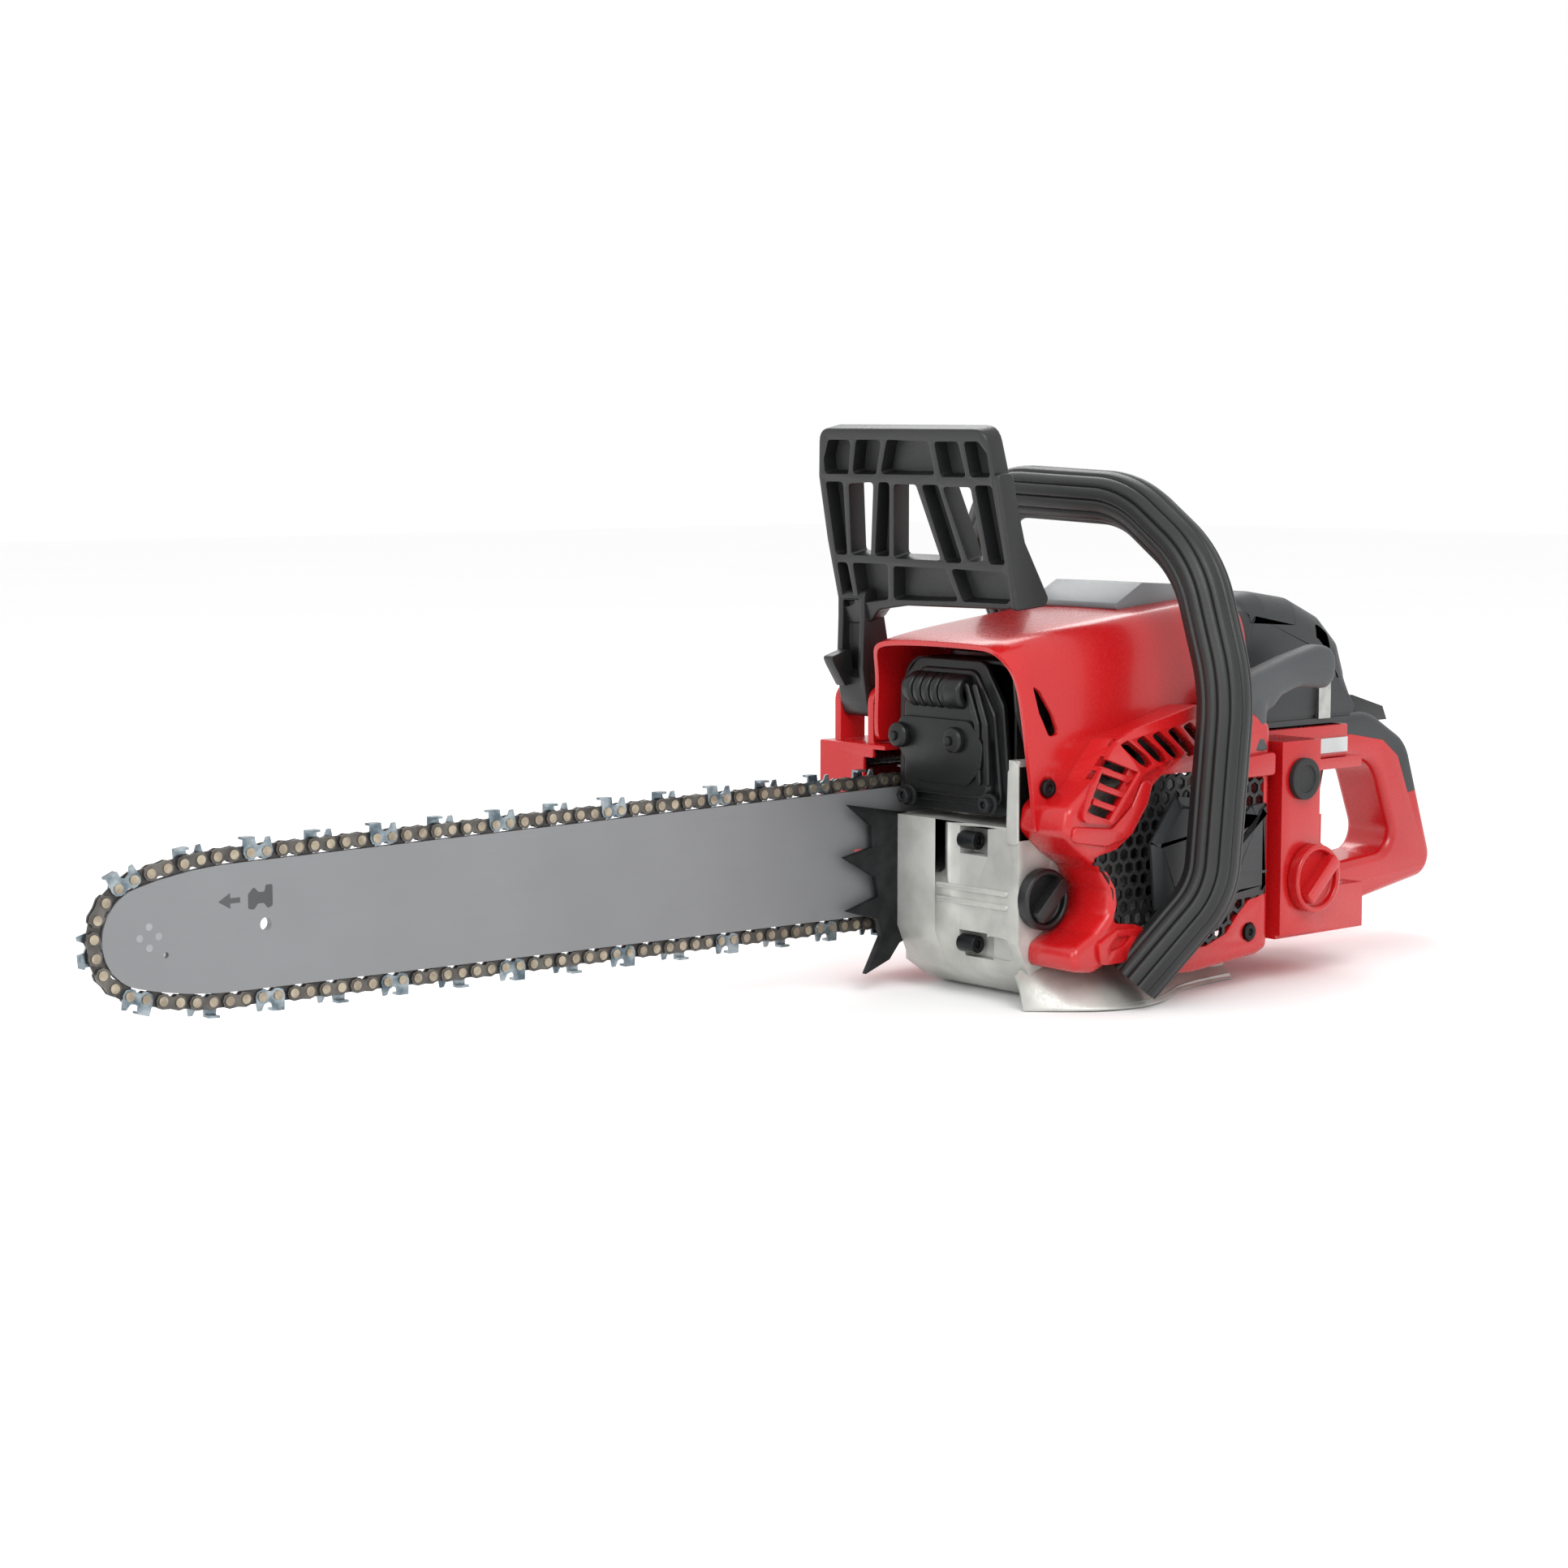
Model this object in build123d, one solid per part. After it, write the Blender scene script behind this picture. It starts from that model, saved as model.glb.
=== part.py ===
from build123d import *
import os
from math import acos, atan2, cos, degrees, hypot, pi, sin

# Petrol chainsaw with an 18 inch bar, in millimetres.
# +Z is up, the bar points to -X, the starter side is -Y and the clutch side is +Y.
# The origin lies on the ground below the crankshaft, in the middle of the muffler's width.

os.makedirs("parts", exist_ok=True)

# ---- driving dimensions -------------------------------------------------------
crank_z = 72.0            # height of the crankshaft and of the bar's centreline
engine_y = 8.0            # plane of the cylinder axis and of the crankcase split
bar_y = 45.0              # middle plane of bar and chain
case_front = -88.0        # front face of the crankcase
case_rear = 48.0
case_left = -52.0
case_right = 40.0
case_deck = 110.0         # face that the cylinder stands on
case_wall = 4.0
foot_thick = 9.0
foot_left = -88.0         # the foot carries the lower end of the front handle

bore_d = 45.0
stroke = 32.0
rod_length = 60.0
piston_gap = 0.06         # radial clearance of the piston in its bore
pin_d = 14.0              # crank pin
wrist_d = 10.0
shaft_d = 15.0
run_gap = 0.05            # radial clearance of shafts in their bearings
fin_count = 8

pitch = 8.255             # rivet distance of a .325 inch chain
drive_links = 72
nose_teeth = 10
drum_teeth = 7
link_thick = 1.27
strap_thick = 1.15
rivet_d = 3.2
rivet_head_d = 4.3
strap_half = 3.6          # half the height of a tie strap
bar_thick = 4.0
groove_width = 1.5
groove_depth = 7.6
rail_to_rivet = 3.9       # rivet line above the bar's rail
rail_rise = 0.012         # slope of the straight rails, radians
flank_angle = 0.26        # where the nose circle hands over to the flank
flank_radius = 200.0
bar_tail = -30.0
slot_width = 8.3
stud_x = (-76.0, -52.0)
hang_hole_d = 6.0
hang_hole_x = -463.0

flywheel_r = 42.0
flywheel_left = -64.0
cover_left = -84.0        # outer face of the starter cover
cover_right = 66.0
shell = 2.5               # wall of the plastic covers
top_left = -64.0          # outer faces of the top cover
top_right = 53.0
fit = 0.3                 # gap between neighbouring covers

drum_r = 38.0
side_right = 92.0         # outer face of the clutch cover
guard_pivot = (-78.0, 148.0)
guard_width = (-48.0, 82.0)
guard_hinge = (-102.0, 262.0)   # front face of the guard at its upper rib
guard_lean = 12.7         # degrees that the guard leans forwards
guard_depth = 11.0

handle_r = 14.0           # rubber sleeve of the front handle
tube_r = 9.5
tube_wall = 1.5

tank_left = -85.0
tank_right = 40.0
tank_front = 70.0
tank_rear = 142.0
tank_floor = 24.0
tank_top = 82.0
tank_step = -56.0         # left of this plane the tank is only as high as the sill
sill_top = 48.0
tank_wall = 3.0
grip_y = (-22.0, 12.0)
grip_mid = -5.0

pulley_y = -75.0
rope_r = 21.0             # radius of the rope on its pulley
rope_d = 3.5
rope_guide = (58.0, 124.0)

fuel_cap = (93.0, 55.0)
fuel_cap_r = 18.0
oil_cap = (-74.0, 56.0)
oil_cap_r = 15.5


# ---- small helpers ------------------------------------------------------------
def block(x0, x1, y0, y1, z0, z1):
    return Pos((x0 + x1) / 2, (y0 + y1) / 2, (z0 + z1) / 2) * Box(x1 - x0, y1 - y0, z1 - z0)


def rod_y(x, z, r, y0, y1):
    return Pos(x, (y0 + y1) / 2, z) * Rot(90, 0, 0) * Cylinder(r, y1 - y0)


def rod_z(x, y, r, z0, z1):
    return Pos(x, y, (z0 + z1) / 2) * Cylinder(r, z1 - z0)


def rod_x(y, z, r, x0, x1):
    return Pos((x0 + x1) / 2, y, z) * Rot(0, 90, 0) * Cylinder(r, x1 - x0)


def ring_y(x, z, r_out, r_in, y0, y1):
    return rod_y(x, z, r_out, y0, y1) - rod_y(x, z, r_in, y0 - 1, y1 + 1)


def face_xz(points, inset=0.0):
    """Closed outline in the XZ plane, drawn inwards by inset."""
    flat = make_face(Polyline(*[(x, z) for x, z in points], close=True))
    if inset:
        flat = offset(flat, amount=-inset, kind=Kind.INTERSECTION)
    return flat


def extrude_y(face, y0, y1):
    """A face drawn as (x, z) made solid from y0 to y1."""
    return Pos(0, y1, 0) * Rot(90, 0, 0) * extrude(face, y1 - y0)


def prism_y(points, y0, y1, inset=0.0):
    """Outline (x, z) made solid from y0 to y1."""
    return extrude_y(face_xz(points, inset), y0, y1)


def prism_x(points, x0, x1):
    """Outline (y, z) made solid from x0 to x1."""
    flat = make_face(Polyline(*points, close=True))
    return extrude(Plane.YZ.offset(x0) * flat, x1 - x0)


def prism_z(points, z0, z1):
    flat = make_face(Polyline(*points, close=True))
    return Pos(0, 0, z0) * extrude(flat, z1 - z0)


def soften(solid, radius, pick):
    """Round the picked edges."""
    return fillet(pick(solid.edges()), radius)


def save(name, *solids):
    """Write one node, with each piece of it as a separate solid."""
    pieces = []
    for item in solids:
        pieces += list(item.solids())
    shape = pieces[0] if len(pieces) == 1 else Compound(children=pieces)
    export_step(shape, "parts/" + name + ".step")
    return shape


# ---- chain path ---------------------------------------------------------------
nose_r = pitch / (2 * sin(pi / (2 * nose_teeth)))
drum_pitch_r = pitch / (2 * sin(pi / (2 * drum_teeth)))


def arc_points(cx, cz, r, a0, a1, count):
    return [(cx + r * cos(a0 + (a1 - a0) * i / count), cz + r * sin(a0 + (a1 - a0) * i / count))
            for i in range(count + 1)]


def rail_top(nose_x, nose_radius):
    """Upper half of the bar's outline from the tip of the nose back to the end of the rail."""
    flank = flank_radius - nose_r + nose_radius
    cx = nose_x + (flank - nose_radius) * sin(flank_angle)
    cz = -(flank - nose_radius) * cos(flank_angle)
    nose = arc_points(nose_x, 0, nose_radius, pi, pi / 2 + flank_angle, 40)
    side = arc_points(cx, cz, flank, pi / 2 + flank_angle, pi / 2 + rail_rise, 16)[1:]
    x, z = side[-1]
    tail_x = -64.0
    return nose + side + [(tail_x, z + (tail_x - x) * rail_rise)]


def loop_points(nose_x):
    """The chain's rivet line as a closed curve, clockwise from the nose tip over the top."""
    top = rail_top(nose_x, nose_r)
    x, z = top[-1]
    far = hypot(x, z)
    touch = atan2(z, x) - acos(drum_pitch_r / far)
    wheel = arc_points(0, 0, drum_pitch_r, touch, -touch, 60)
    return top + wheel + [(px, -pz) for px, pz in reversed(top)]


def walk(points, segment, place, count):
    """Rivets at equal straight distances along the curve, the first one at place."""
    found = [place]
    x, z = place
    ax, az = place
    while len(found) < count + 1:
        bx, bz = points[(segment + 1) % len(points)]
        if hypot(bx - x, bz - z) < pitch:
            segment += 1
            ax, az = bx, bz
            continue
        low, high = 0.0, 1.0
        for _ in range(50):
            mid = (low + high) / 2
            near = hypot(ax + (bx - ax) * mid - x, az + (bz - az) * mid - z) < pitch
            low, high = (mid, high) if near else (low, mid)
        x, z = ax + (bx - ax) * high, az + (bz - az) * high
        ax, az = x, z
        found.append((x, z))
    return found


def start_on_top(points, x0):
    """The segment and the point of the top run at x0."""
    for i in range(len(points) - 1):
        (ax, az), (bx, bz) = points[i], points[i + 1]
        if ax <= x0 < bx and az > 0:
            return i, (x0, az + (bz - az) * (x0 - ax) / (bx - ax))
    raise ValueError("no such place on the chain")


first_rivet_x = -470.3


def closing_gap(nose_x):
    points = loop_points(nose_x)
    segment, place = start_on_top(points, first_rivet_x)
    rivets = walk(points, segment, place, 2 * drive_links)
    return rivets[-1][0] - place[0], rivets


# the nose is put where the chain of drive_links links just closes
near_x, far_x = -500.0, -560.0
for _ in range(40):
    nose_x = (near_x + far_x) / 2
    gap, rivets = closing_gap(nose_x)
    near_x, far_x = (nose_x, far_x) if gap > 0 else (near_x, nose_x)
rivets = rivets[:-1]
print("nose sprocket at", round(nose_x, 2), "closing gap", round(gap, 4))


# ---- chain --------------------------------------------------------------------
def link_frame(index):
    """Middle and direction of the link from rivet index to the next one."""
    ax, az = rivets[index % len(rivets)]
    bx, bz = rivets[(index + 1) % len(rivets)]
    return (ax + bx) / 2, (az + bz) / 2, degrees(atan2(bz - az, bx - ax))


def place_link(solid, index):
    """Put a link that is drawn along X about the origin onto the chain."""
    mx, mz, turn = link_frame(index)
    return Pos(mx, bar_y, mz + crank_z) * Rot(0, -turn, 0) * solid


def link_plate(outline, thick, y0):
    return prism_y(outline, y0, y0 + thick)


half = pitch / 2
drive_outline = [(-half - 3.1, 0.8), (-half - 1.6, 2.9), (half + 1.6, 2.9), (half + 3.1, 0.8),
                 (half + 2.2, -2.6), (3.4, -3.6), (1.4, -8.2), (-1.4, -8.2), (-3.4, -3.6),
                 (-half - 2.2, -2.6)]
strap_outline = [(-half - 3.4, 0), (-half - 2.4, 2.7), (-half, strap_half), (0, 3.1), (half, strap_half),
                 (half + 2.4, 2.7), (half + 3.4, 0), (half + 2.4, -2.4), (half, -3.3), (2.2, -3.3),
                 (1.2, -2.2),
                 (-1.2, -2.2), (-2.2, -3.3), (-half, -3.3), (-half - 2.4, -2.4)]
cutter_outline = strap_outline[-5:] + [(-half - 3.4, 0), (-half - 3.2, 5.8), (-1.5, 6.0), (-1.1, 3.6),
                                       (0.8, 2.6), (3.0, 3.4), (4.4, 6.2), (6.2, 6.4), (half + 3.4, 0),
                                       (half + 2.4, -2.4), (half, -3.3), (2.2, -3.3)]


def with_holes(solid, y0, y1):
    for x in (-half, half):
        solid -= rod_y(x, 0, rivet_d / 2, y0 - 1, y1 + 1)
    return solid


drive_link = with_holes(link_plate(drive_outline, link_thick, -link_thick / 2), -2, 2)
near_strap = with_holes(link_plate(strap_outline, strap_thick, -link_thick / 2 - strap_thick), -4, 4)
far_strap = with_holes(link_plate(strap_outline, strap_thick, link_thick / 2), -4, 4)


def cutter(side):
    """A cutter with its top plate over the middle of the chain; side is -1 near, +1 far."""
    inner = link_thick / 2
    plate = with_holes(link_plate(cutter_outline, strap_thick, inner), -4, 4)
    plate += block(-half - 3.2, -1.5, -inner - 2.2, inner + strap_thick, 5.8, 6.9)
    return plate if side > 0 else mirror(plate, about=Plane.XZ)


left_cutter, right_cutter = cutter(-1), cutter(1)
rivet = rod_y(0, 0, rivet_d / 2, -link_thick / 2 - strap_thick, link_thick / 2 + strap_thick)
head = link_thick / 2 + strap_thick
rivet += rod_y(0, 0, rivet_head_d / 2, -head - 0.6, -head)
rivet += rod_y(0, 0, rivet_head_d / 2, head, head + 0.6)

straps, lefts, rights, drives = [], [], [], []
for k in range(drive_links):
    side_index = 2 * k
    if k % 4 == 0:
        lefts.append(place_link(left_cutter, side_index))
        straps.append(place_link(far_strap, side_index))
    elif k % 4 == 2:
        rights.append(place_link(right_cutter, side_index))
        straps.append(place_link(near_strap, side_index))
    else:
        straps.append(place_link(near_strap, side_index))
        straps.append(place_link(far_strap, side_index))
    drives.append(place_link(drive_link, side_index + 1))
save("chain_drive_links", *drives)
save("chain_cutters", *lefts, *rights)
save("chain_tie_straps", *straps)
save("chain_rivets", *[Pos(x, bar_y, z + crank_z) * rivet for x, z in rivets])


# ---- guide bar ----------------------------------------------------------------
def bar_face(inset):
    """The bar's outline, drawn inwards by inset: nose arc, flank arcs, rails and tapered tail."""
    r = nose_r - rail_to_rivet - inset
    flank = flank_radius - nose_r + r
    cx, cz = nose_x + (flank - r) * sin(flank_angle), -(flank - r) * cos(flank_angle)
    low, high = pi / 2 + flank_angle, pi / 2 + rail_rise
    flank_at = [(cx + flank * cos(a), cz + flank * sin(a)) for a in (low, (low + high) / 2, high)]
    x, z = flank_at[-1]
    rail_end = (-76.0, z + (-76.0 - x) * rail_rise)
    tail = [flank_at[-1], rail_end, (-58.0, rail_end[1] - 3), (bar_tail - inset, rail_end[1] - 16)]
    below = [(px, -pz) for px, pz in tail]
    edges = [ThreePointArc(*flank_at), Polyline(*tail), Line(tail[-1], below[-1]), Polyline(*below),
             ThreePointArc(*[(px, -pz) for px, pz in flank_at]),
             ThreePointArc(flank_at[0], (nose_x - r, 0), (flank_at[0][0], -flank_at[0][1]))]
    return make_face(edges)


def bar_plate(inset, y0, y1):
    return Pos(0, 0, crank_z) * extrude_y(bar_face(inset), y0, y1)


bar = bar_plate(0, bar_y - bar_thick / 2, bar_y + bar_thick / 2)
groove = bar_plate(-3, bar_y - groove_width / 2, bar_y + groove_width / 2)
groove -= bar_plate(groove_depth, bar_y - groove_width, bar_y + groove_width)
bar -= groove
nose_pocket_r = nose_r - rail_to_rivet + 2
bar -= rod_y(nose_x, crank_z, nose_pocket_r, bar_y - groove_width / 2, bar_y + groove_width / 2)
slot = block(stud_x[0] - 6, bar_tail - 5, bar_y - 4, bar_y + 4, crank_z - slot_width / 2,
             crank_z + slot_width / 2)
bar -= slot
tension_hole = (-66.0, crank_z - 20.0)
bar -= rod_y(tension_hole[0], tension_hole[1], 4.0, bar_y - 4, bar_y + 4)
bar -= rod_y(hang_hole_x, crank_z, hang_hole_d / 2, bar_y - 4, bar_y + 4)
bar -= rod_y(nose_x + 8, crank_z - 8.5, 1.3, bar_y - 4, bar_y + 4)
bar -= block(-112, -100, bar_y - 4, bar_y + 4, crank_z - 2.5, crank_z + 2.5)
rivet_ring = [(nose_x + 4.6 * cos(a), crank_z + 4.6 * sin(a)) for a in (0, pi / 2, pi, 3 * pi / 2)]
for rx, rz in rivet_ring:
    bar -= rod_y(rx, rz, 1.6, bar_y - 4, bar_y + 4)
save("guide_bar", bar)

plate_y = (bar_y - bar_thick / 2, bar_y + bar_thick / 2)
nose_hub = rod_y(nose_x, crank_z, 8.0, bar_y - groove_width / 2, bar_y + groove_width / 2)
for rx, rz in rivet_ring:
    nose_hub -= rod_y(rx, rz, 1.6, bar_y - 4, bar_y + 4)
save("nose_bearing", nose_hub, *[rod_y(rx, rz, 1.6, *plate_y) for rx, rz in rivet_ring])


def toothed(cx, teeth, tip_r, root_r, hub_r, half_width, phase):
    """A flat wheel whose gaps hold the tangs of the drive links."""
    wheel = rod_y(cx, crank_z, tip_r, bar_y - half_width, bar_y + half_width)
    for i in range(teeth):
        turn = phase + 360.0 * i / teeth
        gap_cut = block(root_r, tip_r + 5, bar_y - half_width - 1, bar_y + half_width + 1, -3.1, 3.1)
        mouth = prism_y([(root_r + 2.0, -3.1), (tip_r + 6, -7.8), (tip_r + 6, 7.8), (root_r + 2.0, 3.1)],
                        bar_y - half_width - 1, bar_y + half_width + 1)
        wheel -= Pos(cx, 0, crank_z) * Rot(0, -turn, 0) * (gap_cut + mouth)
    return wheel - rod_y(cx, crank_z, hub_r, bar_y - 20, bar_y + 20)


def nearest_tang(cx, direction):
    """Angle of the drive link nearest to the far side of a wheel at cx."""
    best = None
    for k in range(drive_links):
        mx, mz, _ = link_frame(2 * k + 1)
        angle = degrees(atan2(mz, (mx - cx) * direction))
        if (mx - cx) * direction > 0 and (best is None or abs(angle) < abs(best)):
            best = angle
    return best


nose_phase = 180 - nearest_tang(nose_x, -1)
drum_phase = nearest_tang(0, 1)
save("nose_sprocket", toothed(nose_x, nose_teeth, nose_r - 4.3, nose_r - 9.0, 8.0 + run_gap, 0.6, nose_phase))

# ---- crankcase ----------------------------------------------------------------
case_outline = [(case_front, 92), (case_front, 34), (-80, 16), (-62, 4), (-50, 0), (cover_right, 0),
                (cover_right, foot_thick), (case_rear, foot_thick + 8), (case_rear, 100),
                (40, case_deck), (-40, case_deck), (-52, 92)]


def case_half(y0, y1):
    half_case = prism_y(case_outline, y0, y1)
    half_case -= rod_y(0, crank_z, 34.5, engine_y - 16, engine_y + 16)
    half_case -= rod_z(0, engine_y, bore_d / 2 + 2, crank_z + 20, case_deck + 1)
    half_case -= block(case_front + 13, -40, case_left + case_wall, 32, 18, 88)
    half_case -= block(-36, case_rear - 5, case_left - 1, engine_y - 14, 5, 30)
    half_case -= block(-36, case_rear - 5, engine_y + 14, case_right - 5, 5, 30)
    return half_case


bearing_r = 17.5
left_bearing = (engine_y - 28, engine_y - 17)
right_bearing = (engine_y + 17, engine_y + 28)
case_l = case_half(case_left, engine_y)
case_l += prism_z([(-80, case_left), (-72, foot_left + 20), (-60, foot_left + 7), (-46, foot_left),
                   (-22, foot_left),
                   (-4, foot_left + 6), (8, foot_left + 18), (cover_right, foot_left + 24),
                   (cover_right, case_left)],
                  0, foot_thick)
case_l += block(-50, -20, foot_left, case_left, 0, 24)
case_l -= rod_y(0, crank_z, bearing_r, left_bearing[0], engine_y)
case_l -= rod_y(0, crank_z, 12, case_left - 1, engine_y)
case_l -= rod_y(0, crank_z, 30, case_left - 1, left_bearing[0] - 10)
case_l += block(case_front, -60, case_left, -44.5, 92, 126)
case_l -= rod_y(oil_cap[0], oil_cap[1], 9, case_left - 1, -40)
bolt_levels = (83.0, 30.0)
for level in bolt_levels:
    case_l -= block(case_front - 1, case_front + 10, -30, -10, level - 7, level + 7)
case_r = case_half(engine_y, case_right)
case_r -= rod_y(0, crank_z, bearing_r, engine_y, right_bearing[1])
case_r -= rod_y(0, crank_z, 12, engine_y, case_right + 1)
case_r -= block(case_front - 1, -78, 36, case_right + 1, 10, 95)
pad_outline = [(-77, 60), (-43, 60), (-43, 84), (-77, 84)]
case_r += prism_y(pad_outline, 34, bar_y - bar_thick / 2)
for sx in stud_x:
    case_r -= rod_y(sx, crank_z, 4.0, 30, 44)
pump_pocket = (10, 30, 40, 58)
case_r -= block(pump_pocket[0], pump_pocket[1], 34, case_right + 1, pump_pocket[2], pump_pocket[3])
save("crankcase_left", case_l)
save("crankcase_right", case_r)
save("oil_pump", block(pump_pocket[0] + fit, pump_pocket[1] - fit, 34, 40.6, pump_pocket[2] + fit,
                       pump_pocket[3] - fit))

case_bolts = [rod_y(case_front + 4.5, level, 3.8, -15, -10) for level in bolt_levels]
save("crank_bearings", *[ring_y(0, crank_z, bearing_r, shaft_d / 2 + run_gap, *span)
                         for span in (left_bearing, right_bearing)],
     ring_y(0, crank_z, 12, shaft_d / 2 + run_gap, left_bearing[0] - 6, left_bearing[0]),
     ring_y(0, crank_z, 12, shaft_d / 2 + run_gap, right_bearing[1], case_right - 0.4))

# ---- crank train --------------------------------------------------------------
throw = stroke / 2
pin_z = crank_z + throw
wrist_z = pin_z + rod_length
crown_z = wrist_z + 17
web_r = 32.0
shaft = rod_y(0, crank_z, web_r, engine_y - 15, engine_y - 7)
shaft += rod_y(0, crank_z, web_r, engine_y + 7, engine_y + 15)
shaft -= block(-40, -17, engine_y - 20, engine_y + 20, crank_z, crank_z + 40)
shaft -= block(17, 40, engine_y - 20, engine_y + 20, crank_z, crank_z + 40)
shaft += rod_y(0, pin_z, pin_d / 2, engine_y - 8, engine_y + 8)
shaft += rod_y(0, crank_z, shaft_d / 2, -42, engine_y - 8)
shaft += rod_y(0, crank_z, 5.5, -70, -42)
shaft += rod_y(0, crank_z, shaft_d / 2, engine_y + 8, 41)
shaft += rod_y(0, crank_z, 5.5, 41, 68)
save("crankshaft", shaft)

rod = rod_y(0, pin_z, pin_d / 2 + 4, engine_y - 5, engine_y + 5)
rod += rod_y(0, wrist_z, wrist_d / 2 + 3.5, engine_y - 5, engine_y + 5)
rod += block(-4.5, 4.5, engine_y - 2.5, engine_y + 2.5, pin_z + 8, wrist_z - 6)
rod -= rod_y(0, pin_z, pin_d / 2 + run_gap, engine_y - 10, engine_y + 10)
rod -= rod_y(0, wrist_z, wrist_d / 2 + run_gap, engine_y - 10, engine_y + 10)
save("connecting_rod", rod)

piston_r = bore_d / 2 - piston_gap
skirt_z = wrist_z - 9
piston = rod_z(0, engine_y, piston_r, skirt_z, crown_z)
piston -= rod_z(0, engine_y, piston_r - 3, skirt_z - 1, crown_z - 5)
pin_half = bore_d / 2 - 2.5
boss = rod_y(0, wrist_z, 9, engine_y - pin_half + 1, engine_y + pin_half - 1)
boss -= rod_y(0, wrist_z, 10, engine_y - 6.5, engine_y + 6.5)
piston += boss & rod_z(0, engine_y, piston_r, skirt_z, crown_z)
piston -= rod_y(0, wrist_z, wrist_d / 2, engine_y - 30, engine_y + 30)
ring_levels = (crown_z - 4.5, crown_z - 8.0)
for level in ring_levels:
    piston -= (rod_z(0, engine_y, piston_r + 1, level, level + 1.5)
               - rod_z(0, engine_y, piston_r - 2, level, level + 1.5))
save("piston", piston)
rings = [rod_z(0, engine_y, bore_d / 2 - 0.03, level, level + 1.5)
         - rod_z(0, engine_y, piston_r - 2, level - 1, level + 2) for level in ring_levels]
wrist_pin = ring_y(0, wrist_z, wrist_d / 2, wrist_d / 2 - 2, engine_y - pin_half, engine_y + pin_half)
save("piston_rings_and_pin", *rings, wrist_pin)

# ---- cylinder -----------------------------------------------------------------
head_z = crown_z + 1.5
cylinder = rod_z(0, engine_y, bore_d / 2 + 5, case_deck + 0.5, head_z + 7)
cylinder += block(-31, 31, engine_y - 31, engine_y + 31, case_deck + 0.5, case_deck + 6)
fin_step = (head_z + 6 - (case_deck + 14)) / (fin_count - 1)
for i in range(fin_count):
    level = case_deck + 14 + i * fin_step
    cylinder += soften(block(-42, 42, engine_y - 42, engine_y + 42, level, level + 1.8), 9,
                       lambda edges: edges.filter_by(Axis.Z))
cylinder += block(-50, -20, engine_y - 17, engine_y + 17, 130, 158)
cylinder += block(20, 50, engine_y - 15, engine_y + 15, 128, 156)
cylinder -= rod_x(engine_y, 144, 9, -51, 0)
cylinder -= rod_x(engine_y, 142, 8, 0, 51)
cylinder -= rod_z(0, engine_y, bore_d / 2, case_deck - 1, head_z)
plug_axis = Pos(4, engine_y, head_z + 6) * Rot(0, 65, 0)
cylinder -= plug_axis * Pos(0, 0, 14) * Cylinder(9, 30)
cylinder += plug_axis * Pos(0, 0, 6) * (Cylinder(9, 12) - Cylinder(5, 13))
cylinder -= rod_z(0, engine_y, bore_d / 2, case_deck - 1, head_z)
save("cylinder", cylinder)
base_gasket = (block(-31, 31, engine_y - 31, engine_y + 31, case_deck, case_deck + 0.5)
               - rod_z(0, engine_y, bore_d / 2 + 2, case_deck - 1, case_deck + 2))
cylinder_bolts = [rod_z(sx * 26.5, engine_y + sy * 26.5, 3.5, case_deck + 6, case_deck + 10)
                  for sx in (-1, 1) for sy in (-1, 1)]
plug = Pos(0, 0, 6) * Cylinder(5, 12) + Pos(0, 0, 15) * Cylinder(8, 6) + Pos(0, 0, 21) * Cylinder(4.5, 6)
plug_boot = Pos(0, 0, 26) * Cylinder(7.5, 16) - Pos(0, 0, 21) * Cylinder(4.5, 6)
save("spark_plug", plug_axis * plug, plug_axis * plug_boot)

# ---- muffler ------------------------------------------------------------------
muffler_y = (-42.0, 39.5)
muffler_z = (96.0, 174.0)
muffler_rear = -58.0
muffler_seam = -80.0
muffler_front = -92.0


def rounded_x(x0, x1, y_span, z_span, radius, inset=0.0):
    solid = block(x0, x1, y_span[0] + inset, y_span[1] - inset, z_span[0] + inset, z_span[1] - inset)
    return soften(solid, max(radius - inset, 1), lambda edges: edges.filter_by(Axis.X))


rear_shell = rounded_x(muffler_seam, muffler_rear, muffler_y, muffler_z, 14)
rear_shell -= rounded_x(muffler_seam - 1, muffler_rear - 1.5, muffler_y, muffler_z, 14, 1.5)
rear_shell -= rod_x(engine_y, 144, 9, muffler_rear - 3, muffler_rear + 1)
front_shell = rounded_x(muffler_front, muffler_seam, muffler_y, muffler_z, 14, 4)
front_shell = soften(front_shell, 5, lambda edges: edges.group_by(Axis.X)[0])
front_shell += rounded_x(muffler_seam - 2, muffler_seam, muffler_y, muffler_z, 14)
front_shell -= rounded_x(muffler_front + 1.5, muffler_seam + 1, muffler_y, muffler_z, 14, 5.5)
save("muffler_body", rear_shell)
save("muffler_cover", front_shell)
save("gaskets", base_gasket, block(muffler_rear, -50, engine_y - 16, engine_y + 16, 131, 157)
     - rod_x(engine_y, 144, 9, muffler_rear - 1, -49))
muffler_bolt_places = [(27, 134), (-11, 134), (28, 106), (-31, 106)]
save("muffler_bolts", *[rod_x(y, z, r, muffler_front - 3, muffler_front)
                        for (y, z), r in zip(muffler_bolt_places, (3.6, 3.6, 3.0, 3.0))])

# ---- spike, clutch side ---------------------------------------------------------
spike_outline = [(-80, 92), (-94, 94), (-122, 99), (-106, 87), (-105, 76), (-125, 72), (-103, 60), (-101, 50),
                 (-123, 44), (-102, 38), (-99, 29), (-110, 10), (-93, 16), (-86, 24), (-80, 26)]
save("bumper_spike", prism_y(spike_outline, 36, 39.5))
spike_screws = [rod_y(-84, z, 3.2, 39.5, 42.5) for z in (38, 84)]

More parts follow.
